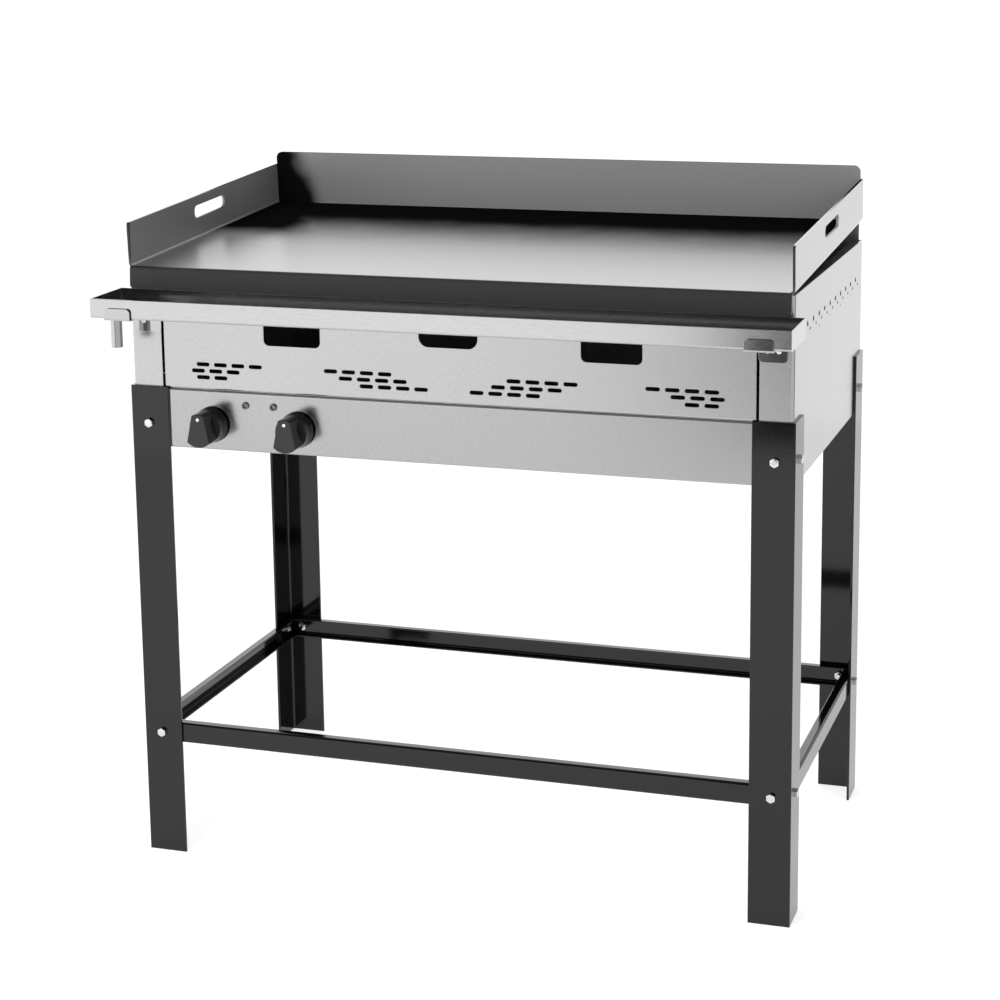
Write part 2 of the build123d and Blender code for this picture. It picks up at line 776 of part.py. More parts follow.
for side_name, valve_x in valve_positions.items():
    body_face = facing(valve_x, cap_back_y, valve_z, front_dir, across)
    with BuildPart() as valve_body:
        with BuildSketch(body_face):
            Circle(valve_diameter / 2)
        extrude(amount=-(valve_back_y - cap_back_y))
        with BuildSketch(body_face):
            Circle(valve_stub_diameter / 2)
        extrude(amount=-(pipe_y - cap_back_y))
        with BuildSketch(facing(valve_x, valve_middle_y, valve_z, (0, 0, 1))):
            Circle(outlet_diameter / 2)
        extrude(amount=outlet_z - valve_z)
        with BuildSketch(body_face):
            Circle(plug_diameter / 2 + running_clearance)
        extrude(amount=-(valve_bore_end - cap_back_y), mode=Mode.SUBTRACT)
        with BuildSketch(facing(valve_x, valve_middle_y, valve_z, (0, 0, 1))):
            Circle(outlet_bore / 2)
        extrude(amount=outlet_z - valve_z, mode=Mode.SUBTRACT)
        with BuildSketch(facing(valve_x, pipe_y, valve_z, (1, 0, 0))):
            Circle(pipe_diameter / 2)
        extrude(amount=valve_diameter, both=True, mode=Mode.SUBTRACT)
    save(valve_body.part, f"valve_body_{side_name}")

    with BuildPart() as valve_cap:
        with BuildSketch(body_face):
            Circle(valve_diameter / 2)
        extrude(amount=cap_flange)
        with BuildSketch(body_face):
            Circle(cap_neck_diameter / 2)
        extrude(amount=cap_flange + cap_neck_length)
        with BuildSketch(body_face):
            Circle(nose_diameter / 2)
        extrude(amount=cap_back_y - cap_front_y)
        with BuildSketch(body_face):
            Circle(cap_cavity_diameter / 2)
        extrude(amount=cap_back_y - cap_front_y - nose_wall, mode=Mode.SUBTRACT)
        with BuildSketch(body_face):
            Circle(stem_diameter / 2 + stem_hole_clearance)
        extrude(amount=cap_back_y - cap_front_y, mode=Mode.SUBTRACT)
    save(valve_cap.part, f"valve_cap_{side_name}")

    plug_face = facing(valve_x, plug_front_y, valve_z, front_dir, across)
    with BuildPart() as valve_plug:
        with BuildSketch(plug_face):
            Circle(plug_diameter / 2)
        extrude(amount=-plug_length)
        with BuildSketch(plug_face) as plug_socket:
            Circle(stem_diameter / 2 + running_clearance)
            with Locations((0, stem_flat + running_clearance)):
                Rectangle(stem_diameter * 2, stem_diameter, align=flat_align, mode=Mode.SUBTRACT)
        extrude(amount=-(stem_insertion + knob_travel + stem_end_gap), mode=Mode.SUBTRACT)
        with Locations(facing(valve_x, plug_back_y - plug_port, valve_z, (1, 0, 0))):
            Hole(radius=plug_port / 2)
    save(valve_plug.part, f"valve_plug_{side_name}")

    stem_face = facing(valve_x, stem_rear_y, valve_z, front_dir, across)
    collar_face = facing(valve_x, collar_back_y, valve_z, front_dir, across)
    with BuildPart() as valve_stem:
        with BuildSketch(stem_face):
            Circle(stem_diameter / 2)
            with Locations((0, stem_flat)):
                Rectangle(stem_diameter * 2, stem_diameter, align=flat_align, mode=Mode.SUBTRACT)
        extrude(amount=stem_rear_y - stem_front_y)
        with BuildSketch(collar_face):
            Circle(stem_collar_diameter / 2)
        extrude(amount=stem_collar)
    save(valve_stem.part, f"valve_stem_{side_name}")

    spring_start_y = collar_back_y + spring_end_gap + spring_wire / 2
    spring_height = plug_front_y - spring_end_gap - spring_wire / 2 - spring_start_y
    with BuildPart() as stem_spring:
        with BuildLine():
            coil = Helix(
                pitch=spring_height / spring_turns,
                height=spring_height,
                radius=spring_diameter / 2,
                center=(valve_x, spring_start_y, valve_z),
                direction=(0, 1, 0),
            )
        with BuildSketch(Plane(origin=coil @ 0, z_dir=coil % 0)):
            Circle(spring_wire / 2)
        sweep(is_frenet=True)
    save(stem_spring.part, f"stem_spring_{side_name}")

    knob_face = facing(valve_x, knob_back_y, valve_z, front_dir, across)
    dot_y = grip_reach - dot_inset
    with BuildPart() as knob:
        with BuildSketch(knob_face):
            Circle(knob_diameter / 2)
        with BuildSketch(knob_face.offset(knob_skirt)):
            Circle(knob_body_diameter / 2)
        loft()
        with BuildSketch(knob_face.offset(knob_skirt)):
            Circle(grip_reach)
        extrude(amount=knob_depth - knob_skirt)
        for side in sides.values():
            for level, flare in ((grip_floor, grip_flare), (knob_depth, 0)):
                with BuildSketch(knob_face.offset(level)):
                    with BuildLine():
                        Polyline(
                            (side * (grip_top_half + flare), grip_reach),
                            (side * (grip_bottom_half + flare), -grip_reach),
                            (side * knob_diameter, -grip_reach),
                            (side * knob_diameter, grip_reach),
                            close=True,
                        )
                    make_face()
            loft(mode=Mode.SUBTRACT)
        fillet(knob.faces().sort_by(Axis.Y)[0].edges(), knob_edge_radius)
        with BuildSketch(knob_face):
            Circle(knob_hollow_diameter / 2)
        extrude(amount=knob_hollow, mode=Mode.SUBTRACT)
        with BuildSketch(knob_face.offset(knob_hollow)):
            Circle(stem_diameter / 2 + running_clearance)
            with Locations((0, stem_flat + running_clearance)):
                Rectangle(stem_diameter * 2, stem_diameter, align=flat_align, mode=Mode.SUBTRACT)
        extrude(amount=knob_socket, mode=Mode.SUBTRACT)
        with BuildSketch(knob_face.offset(knob_depth)):
            with Locations((0, dot_y)):
                Circle(dot_diameter / 2)
        extrude(amount=-dot_depth, mode=Mode.SUBTRACT)
    save(knob.part, f"knob_{side_name}")

    with BuildPart() as knob_dot:
        with BuildSketch(knob_face.offset(knob_depth - dot_depth)):
            with Locations((0, dot_y)):
                Circle(dot_diameter / 2 - running_clearance)
        extrude(amount=dot_depth)
    save(knob_dot.part, f"knob_dot_{side_name}")

# Manifold pipe with its cap, and the inlet through the left side panel
inlet_hex_x = -(body_half - casing_sheet)
pipe_left_x = inlet_hex_x + inlet_hex_length
pipe_right_x = right_valve_x + pipe_end
with BuildPart() as pipe:
    with BuildSketch(facing(pipe_left_x, pipe_y, valve_z, (1, 0, 0))):
        Circle(pipe_diameter / 2)
        Circle(pipe_bore / 2, mode=Mode.SUBTRACT)
    extrude(amount=pipe_right_x - pipe_left_x)
    for valve_x in valve_positions.values():
        with Locations(facing(valve_x, pipe_front_y, valve_z, front_dir)):
            Hole(radius=outlet_bore / 2, depth=pipe_diameter / 2)
save(pipe.part, "manifold_pipe")

with BuildPart() as manifold_cap:
    with BuildSketch(facing(pipe_right_x, pipe_y, valve_z, (1, 0, 0))):
        Circle(pipe_cap_diameter / 2)
    extrude(amount=pipe_cap)
save(manifold_cap.part, "manifold_cap")

with BuildPart() as inlet:
    with BuildSketch(facing(inlet_hex_x, pipe_y, valve_z, (1, 0, 0))):
        RegularPolygon(radius=inlet_hex / 2, side_count=6, major_radius=False)
    extrude(amount=inlet_hex_length)
    with BuildSketch(facing(inlet_hex_x, pipe_y, valve_z, (-1, 0, 0))):
        Circle(inlet_shoulder_diameter / 2)
    extrude(amount=casing_sheet)
    with BuildSketch(facing(-body_half, pipe_y, valve_z, (-1, 0, 0))):
        Circle(inlet_thread_diameter / 2)
    extrude(amount=inlet_reach)
    with Locations(facing(pipe_left_x, pipe_y, valve_z, (1, 0, 0))):
        Hole(radius=inlet_bore / 2)
save(inlet.part, "gas_inlet")

# Manifold bracket: a web screwed behind the control panel, with two cheeks that hold the pipe
web_left_x = screw_left_x - bracket_margin
web_right_x = screw_right_x + bracket_margin
web_top = valve_z + screw_rise + bracket_top_margin
web_bottom = valve_z - bracket_cheek / 2
cheek_back_y = pipe_y + bracket_tail
with BuildPart() as bracket:
    with BuildSketch(Plane.XZ.offset(-panel_back_y)):
        with Locations(((web_left_x + web_right_x) / 2, (web_top + web_bottom) / 2)):
            Rectangle(web_right_x - web_left_x, web_top - web_bottom)
    extrude(amount=-bracket_sheet)
    for cheek_x, inward in ((web_left_x, 1), (web_right_x, -1)):
        with BuildSketch(Plane.YZ.offset(cheek_x)):
            with Locations(((panel_back_y + cheek_back_y) / 2, valve_z)):
                Rectangle(cheek_back_y - panel_back_y, bracket_cheek)
            with Locations((pipe_y, valve_z)):
                Circle(pipe_diameter / 2 + thread_clearance, mode=Mode.SUBTRACT)
        extrude(amount=inward * bracket_sheet)
    for screw_x in (screw_left_x, screw_right_x):
        with Locations(facing(screw_x, panel_back_y, valve_z + screw_rise, front_dir)):
            Hole(radius=screw_diameter / 2 + thread_clearance, depth=bracket_sheet)
save(bracket.part, "manifold_bracket")

with BuildPart() as screws:
    for screw_x in (screw_left_x, screw_right_x):
        seat = facing(screw_x, panel_y, valve_z + screw_rise, front_dir, across)
        with BuildSketch(seat):
            Circle(screw_head_diameter / 2)
        extrude(amount=screw_head)
        with BuildSketch(seat):
            Circle(screw_diameter / 2)
        extrude(amount=-(casing_sheet + bracket_sheet + screw_tail))
    rims = screws.edges().filter_by(GeomType.CIRCLE).group_by(Axis.Y)[0]
    fillet(rims, screw_head_radius)
    for screw_x in (screw_left_x, screw_right_x):
        with BuildSketch(facing(screw_x, panel_y - screw_head, valve_z + screw_rise, front_dir, across)):
            Rectangle(screw_recess_length, screw_recess_width)
            Rectangle(screw_recess_width, screw_recess_length)
        extrude(amount=-screw_recess_depth, mode=Mode.SUBTRACT)
save(screws.part, "control_panel_screws")

# Feed tubes: up from the valve, back to the burner's line, across to the riser and up to the injector
injector_back_x = injector_face_x - injector_hex_length
for side_name, valve_x in valve_positions.items():
    burner_y = burner_lines[burner_of_valve[side_name]]
    with BuildPart() as feed_tube:
        with BuildLine() as route:
            FilletPolyline(
                (valve_x, valve_middle_y, outlet_z),
                (valve_x, valve_middle_y, tube_z),
                (valve_x, burner_y, tube_z),
                (riser_x, burner_y, tube_z),
                (riser_x, burner_y, burner_z),
                (injector_back_x, burner_y, burner_z),
                radius=tube_bend,
            )
        with BuildSketch(Plane(origin=route.line @ 0, z_dir=route.line % 0)):
            Circle(tube_diameter / 2)
            Circle(tube_bore / 2, mode=Mode.SUBTRACT)
        sweep()
    save(feed_tube.part, f"feed_tube_{side_name}")

# Burners with their injectors
for line_name, burner_y in burner_lines.items():
    with BuildPart() as injector:
        with BuildSketch(facing(injector_back_x, burner_y, burner_z, (1, 0, 0))):
            RegularPolygon(radius=injector_hex / 2, side_count=6, major_radius=False)
        extrude(amount=injector_hex_length)
        with BuildSketch(facing(injector_face_x, burner_y, burner_z, (1, 0, 0))):
            Circle(injector_neck_diameter / 2)
        extrude(amount=injector_neck_diameter)
        nozzle_face = facing(injector_face_x + injector_neck_diameter, burner_y, burner_z, (1, 0, 0))
        with BuildSketch(nozzle_face):
            Circle(injector_nozzle_root / 2)
        with BuildSketch(nozzle_face.offset(injector_nozzle)):
            Circle(injector_nozzle_tip / 2)
        loft()
        with Locations(nozzle_face.offset(injector_nozzle)):
            Hole(radius=injector_bore / 2)
    save(injector.part, f"injector_{line_name}")

    with BuildPart() as burner:
        with BuildSketch(facing(burner_left_x, burner_y, burner_z, (1, 0, 0))):
            Circle(burner_diameter / 2)
        extrude(amount=burner_length)
        with BuildSketch(facing(burner_left_x, burner_y, burner_z, (1, 0, 0))):
            Circle(burner_collar_diameter / 2)
        extrude(amount=burner_collar)
        with BuildSketch(facing(burner_left_x, burner_y, burner_z, (1, 0, 0))):
            Circle(burner_diameter / 2 - burner_wall)
        extrude(amount=burner_length - burner_end, mode=Mode.SUBTRACT)
        port_count = int((burner_length - 2 * port_margin) / port_pitch) + 1
        port_start = burner_left_x + burner_length / 2 - (port_count - 1) * port_pitch / 2
        for index in range(port_count):
            with Locations((port_start + index * port_pitch, burner_y, burner_z + burner_diameter / 2)):
                Hole(radius=port_diameter / 2, depth=burner_diameter / 2)
    save(burner.part, f"burner_{line_name}")

# Brackets that stand on the heat shield: one for the injectors, two for the burners
bracket_front_y = burner_lines["front"] - burner_diameter / 2 - burner_bracket_margin
bracket_rear_y = burner_lines["rear"] + burner_diameter / 2 + burner_bracket_margin
bracket_top = burner_z + burner_diameter / 2
burner_hole_radius = burner_diameter / 2 + burner_hole_clearance
burner_right_x = burner_left_x + burner_length
bracket_specs = (
    ("injector_bracket", injector_face_x, -1, injector_neck_diameter / 2 + thread_clearance),
    ("burner_bracket_left", burner_left_x + burner_bracket_inset, 1, burner_hole_radius),
    ("burner_bracket_right", burner_right_x - burner_bracket_inset, -1, burner_hole_radius),
)
for bracket_name, bracket_x, foot_side, hole_radius in bracket_specs:
    with BuildPart() as stand_bracket:
        with BuildSketch(Plane.YZ.offset(bracket_x)):
            with Locations(((bracket_front_y + bracket_rear_y) / 2, (shield_top + bracket_top) / 2)):
                Rectangle(bracket_rear_y - bracket_front_y, bracket_top - shield_top)
            for burner_y in burner_lines.values():
                with Locations((burner_y, burner_z)):
                    Circle(hole_radius, mode=Mode.SUBTRACT)
        extrude(amount=burner_bracket_sheet)
        foot_shift = foot_side * (burner_bracket_foot - burner_bracket_sheet) / 2
        foot_x = bracket_x + burner_bracket_sheet / 2 + foot_shift
        with BuildSketch(Plane.XY.offset(shield_top)):
            with Locations((foot_x, (bracket_front_y + bracket_rear_y) / 2)):
                Rectangle(burner_bracket_foot, bracket_rear_y - bracket_front_y)
        extrude(amount=burner_bracket_sheet)
    save(stand_bracket.part, bracket_name)
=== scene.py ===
"""Looks of a gas burger griddle on a bolted stand.

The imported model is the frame: its nodes keep their places and get their finishes here. Hexagon bolts,
nuts, rivets, screws and return springs are modelled anew as surfaces worked out with numpy. A white
studio, its light and the camera follow. Metres, +Z up, the front faces -Y.
"""

import json
import logging
import math
from dataclasses import dataclass
from enum import Enum

import bmesh
import bpy
import numpy as np
from mathutils import Matrix, Vector


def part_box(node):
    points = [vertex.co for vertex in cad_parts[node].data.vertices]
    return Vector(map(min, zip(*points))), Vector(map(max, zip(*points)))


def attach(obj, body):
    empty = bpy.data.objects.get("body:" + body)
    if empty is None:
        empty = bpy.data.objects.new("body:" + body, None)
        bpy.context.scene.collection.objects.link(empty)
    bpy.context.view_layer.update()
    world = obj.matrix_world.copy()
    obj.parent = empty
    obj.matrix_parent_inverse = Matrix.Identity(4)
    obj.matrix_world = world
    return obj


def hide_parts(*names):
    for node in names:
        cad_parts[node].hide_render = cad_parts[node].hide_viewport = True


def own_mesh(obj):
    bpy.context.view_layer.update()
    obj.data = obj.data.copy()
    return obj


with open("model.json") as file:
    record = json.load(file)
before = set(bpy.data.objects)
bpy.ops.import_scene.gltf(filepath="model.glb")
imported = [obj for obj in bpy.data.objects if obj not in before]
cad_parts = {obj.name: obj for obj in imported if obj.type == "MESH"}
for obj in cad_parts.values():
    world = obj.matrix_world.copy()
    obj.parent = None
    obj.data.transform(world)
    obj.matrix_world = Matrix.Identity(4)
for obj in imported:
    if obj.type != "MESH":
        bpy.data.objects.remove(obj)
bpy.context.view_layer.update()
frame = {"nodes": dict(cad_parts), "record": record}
LOG = logging.getLogger("griddle")
MM = 0.001
SIDES = ("left", "right")
UP = Vector((0, 0, 1))
SMOOTH = {"interpolation_type": "SMOOTHSTEP"}
EASED_EDGE = {"samples": 6}
NOISE_MIDDLE = 0.5
GRAIN_DETAIL = 4.0
GRAIN_ROUGHNESS = 0.6
CLOUD_DETAIL = 2.0
CLOUD_ROUGHNESS = 0.5
# Sockets of a colour mix by number, because their names repeat.
MIX_FIRST = 6
MIX_SECOND = 7
MIX_RESULT = 2


class Body(Enum):
    """Bodies of the frame that new pieces ride on."""

    STAND = "stand_and_casing"
    KNOB_LEFT = "knob_left"
    KNOB_RIGHT = "knob_right"


class Slot(Enum):
    """Material slots of the record that new pieces take their finish from."""

    ZINC = "zinc_plate"
    SCREW = "dark_steel"
    SPRING = "spring_steel"


def hex_linear(code: str) -> tuple[float, float, float, float]:
    """Turn an sRGB hex colour into linear RGBA.

    Args:
        code: six hex digits after a hash sign.

    Returns:
        Linear red, green and blue, with alpha 1.
    """
    channels = [int(code[i : i + 2], 16) / 255 for i in (1, 3, 5)]
    linear = [c / 12.92 if c <= 0.04045 else ((c + 0.055) / 1.055) ** 2.4 for c in channels]
    return (*linear, 1.0)


def add_node(
    tree: bpy.types.NodeTree, kind: str, settings: dict | None = None, **inputs: object
) -> bpy.types.Node:
    """Add one shader node, with its settings, its constant sockets and its links.

    Args:
        tree: node tree that gets the node.
        kind: Blender's name of the node type.
        settings: attributes of the node itself.
        inputs: socket values by name, with underscores for spaces; an output socket becomes a link.

    Returns:
        The new node.
    """
    node = tree.nodes.new(kind)
    for key, value in (settings or {}).items():
        setattr(node, key, value)
    for key, value in inputs.items():
        socket = node.inputs[key.replace("_", " ")]
        if isinstance(value, bpy.types.NodeSocket):
            tree.links.new(value, socket)
        else:
            socket.default_value = value
    return node


@dataclass(frozen=True)
class Finish:
    """A surface finish: a principled shader whose grain varies tone, gloss and relief.

    The grain is noise on Object coordinates, stretched to the real size of the marks in millimetres.
    """

    name: str
    dark: str
    light: str
    metallic: float
    roughness: tuple[float, float]
    grain_mm: tuple[float, float, float]
    relief: float
    relief_mm: float = 0.05
    contrast: float = 0.25
    specular: float = 0.5
    cloud_mm: float = 160.0
    cloud: float = 0.15
    edge_mm: float = 0.5

    def material(self) -> bpy.types.Material:
        """Build the material.

        Returns:
            The finished material, ready for a slot.
        """
        made = bpy.data.materials.new(self.name)
        made.use_nodes = True
        tree = made.node_tree
        tree.nodes.clear()
        place = add_node(tree, "ShaderNodeTexCoord").outputs["Object"]
        scale = tuple(1 / (size * MM) for size in self.grain_mm)
        stretched = add_node(tree, "ShaderNodeMapping", Vector=place, Scale=scale).outputs["Vector"]
        grain = add_node(
            tree,
            "ShaderNodeTexNoise",
            Vector=stretched,
            Scale=1.0,
            Detail=GRAIN_DETAIL,
            Roughness=GRAIN_ROUGHNESS,
        )
        cloud = add_node(
            tree,
            "ShaderNodeTexNoise",
            Vector=place,
            Scale=1 / (self.cloud_mm * MM),
            Detail=CLOUD_DETAIL,
            Roughness=CLOUD_ROUGHNESS,
        )
        mixed = add_node(
            tree,
            "ShaderNodeMix",
            {"data_type": "FLOAT"},
            Factor=self.cloud,
            A=grain.outputs["Fac"],
            B=cloud.outputs["Fac"],
        ).outputs["Result"]
        low, high = NOISE_MIDDLE - self.contrast, NOISE_MIDDLE + self.contrast
        tone = add_node(tree, "ShaderNodeValToRGB", Fac=mixed)
        tone.color_ramp.elements[0].position = low
        tone.color_ramp.elements[1].position = high
        tone.color_ramp.elements[0].color = hex_linear(self.dark)
        tone.color_ramp.elements[1].color = hex_linear(self.light)
        gloss = add_node(
            tree,
            "ShaderNodeMapRange",
            Value=mixed,
            From_Min=low,
            From_Max=high,
            To_Min=self.roughness[0],
            To_Max=self.roughness[1],
        )
        eased = add_node(tree, "ShaderNodeBevel", EASED_EDGE, Radius=self.edge_mm * MM)
        bump = add_node(
            tree,
            "ShaderNodeBump",
            Strength=self.relief,
            Distance=self.relief_mm * MM,
            Height=grain.outputs["Fac"],
            Normal=eased.outputs["Normal"],
        )
        shader = add_node(
            tree,
            "ShaderNodeBsdfPrincipled",
            Base_Color=tone.outputs["Color"],
            Roughness=gloss.outputs["Result"],
            Normal=bump.outputs["Normal"],
            Metallic=self.metallic,
            Specular_IOR_Level=self.specular,
        )
        add_node(tree, "ShaderNodeOutputMaterial", Surface=shader.outputs["BSDF"])
        return made


# Brushed stainless sheet: a fine belt leaves short upright lines, which soften what the sheet mirrors.
# The lines are drawn about a millimetre wide so that they show.
BRUSHED_STAINLESS = Finish(
    name="brushed_stainless_sheet",
    dark="#a6a6a6",
    light="#b8b8b8",
    metallic=1.0,
    roughness=(0.19, 0.24),
    grain_mm=(0.9, 0.9, 5.0),
    relief=0.03,
    relief_mm=0.02,
    edge_mm=0.8,
)

# Stainless of the tray: the same sheet before brushing, paler and with a clearer mirror image.
BRIGHT_STAINLESS = Finish(
    name="bright_rolled_stainless_tray",
    dark="#acacac",
    light="#b9b9b9",
    metallic=1.0,
    roughness=(0.11, 0.15),
    grain_mm=(9.0, 0.9, 0.9),
    relief=0.02,
    relief_mm=0.02,
    edge_mm=0.8,
)

# Satin stainless of the control panel: brushed along its length, a little darker than the casing.
SATIN_STAINLESS = Finish(
    name="satin_stainless_control_panel",
    dark="#9b9b9b",
    light="#adadad",
    metallic=1.0,
    roughness=(0.17, 0.22),
    grain_mm=(5.0, 0.9, 0.9),
    relief=0.03,
    relief_mm=0.02,
    edge_mm=0.3,
)

# Polished stainless of the hooks and the drain: nearly a mirror.
POLISHED_STAINLESS = Finish(
    name="polished_stainless_fitting",
    dark="#a8a8a8",
    light="#b2b2b2",
    metallic=1.0,
    roughness=(0.05, 0.08),
    grain_mm=(2.0, 2.0, 2.0),
    relief=0.03,
    relief_mm=0.02,
)

# Gloss black enamel, sprayed on the stand: a clear film with a slight orange peel.
BLACK_ENAMEL = Finish(
    name="sprayed_gloss_black_enamel",
    dark="#050506",
    light="#080809",
    metallic=0.0,
    roughness=(0.06, 0.10),
    grain_mm=(4.0, 4.0, 4.0),
    relief=0.12,
    relief_mm=0.1,
    specular=0.45,
    edge_mm=1.5,
)

# Bright zinc on bolts, nuts and rivets: pale, slightly cloudy plating.
BRIGHT_ZINC = Finish(
    name="bright_zinc_plating",
    dark="#bfc0c1",
    light="#dedfe0",
    metallic=1.0,
    roughness=(0.10, 0.20),
    grain_mm=(1.2, 1.2, 1.2),
    relief=0.08,
    relief_mm=0.03,
    cloud_mm=6.0,
)

# Moulded phenolic knobs: black, with the fine matt texture of the mould.
PHENOLIC_KNOB = Finish(
    name="moulded_black_phenolic",
    dark="#0d0d0d",
    light="#151515",
    metallic=0.0,
    roughness=(0.22, 0.32),
    grain_mm=(0.8, 0.8, 0.8),
    relief=0.08,
    relief_mm=0.04,
    cloud_mm=20.0,
    edge_mm=0.8,
)

# White pointer paint, filled into a small dimple.
POINTER_PAINT = Finish(
    name="white_pointer_paint",
    dark="#dededc",
    light="#f0f0ee",
    metallic=0.0,
    roughness=(0.4, 0.5),
    grain_mm=(0.6, 0.6, 0.6),
    relief=0.05,
)

# Turned brass of the valves: warm, with the fine rings of the lathe.
TURNED_BRASS = Finish(
    name="turned_brass",
    dark="#b08a4a",
    light="#cfa866",
    metallic=1.0,
    roughness=(0.22, 0.34),
    grain_mm=(6.0, 0.6, 6.0),
    relief=0.10,
)

# Galvanised sheet: a dull zinc coat with broad grey clouds.
GALVANISED_SHEET = Finish(
    name="galvanised_steel_sheet",
    dark="#9b9ea0",
    light="#bdbfc0",
    metallic=1.0,
    roughness=(0.34, 0.46),
    grain_mm=(9.0, 9.0, 9.0),
    relief=0.05,
    cloud_mm=40.0,
    cloud=0.4,
)

# Drawn aluminium feed tube: pale and satin, with lines along the draw.
DRAWN_ALUMINIUM = Finish(
    name="drawn_aluminium_tube",
    dark="#c6c7c8",
    light="#dcddde",
    metallic=1.0,
    roughness=(0.24, 0.34),
    grain_mm=(3.0, 3.0, 3.0),
    relief=0.06,
)

# Burner tube: plain steel, dulled by heat.
BURNER_STEEL = Finish(
    name="heat_dulled_burner_steel",
    dark="#77736e",
    light="#96928c",
    metallic=1.0,
    roughness=(0.36, 0.52),
    grain_mm=(12.0, 12.0, 12.0),
    relief=0.08,
    cloud_mm=60.0,
    cloud=0.4,
)

# Ground spring steel of stems and springs.
GROUND_STEEL = Finish(
    name="ground_spring_steel",
    dark="#9a9a9a",
    light="#bcbcbc",
    metallic=1.0,
    roughness=(0.2, 0.3),
    grain_mm=(1.0, 4.0, 1.0),
    relief=0.06,
)

# Blackened screws: dark oxide with a dull shine.
BLACKENED_STEEL = Finish(
    name="blackened_screw_steel",
    dark="#6a6a6a",
    light="#8a8a8a",
    metallic=1.0,
    roughness=(0.25, 0.4),
    grain_mm=(1.0, 1.0, 1.0),
    relief=0.06,
)


@dataclass(frozen=True)
class PlateZones:
    """Zones of the griddle plate, each a socket that runs from 0 outside to 1 inside."""

    flat: bpy.types.NodeSocket
    lip: bpy.types.NodeSocket
    outside: bpy.types.NodeSocket
    end: bpy.types.NodeSocket
    # Painted shade and dark reflection, painted black along the back wall and in the rear left corner.
    painted_shade: bpy.types.NodeSocket


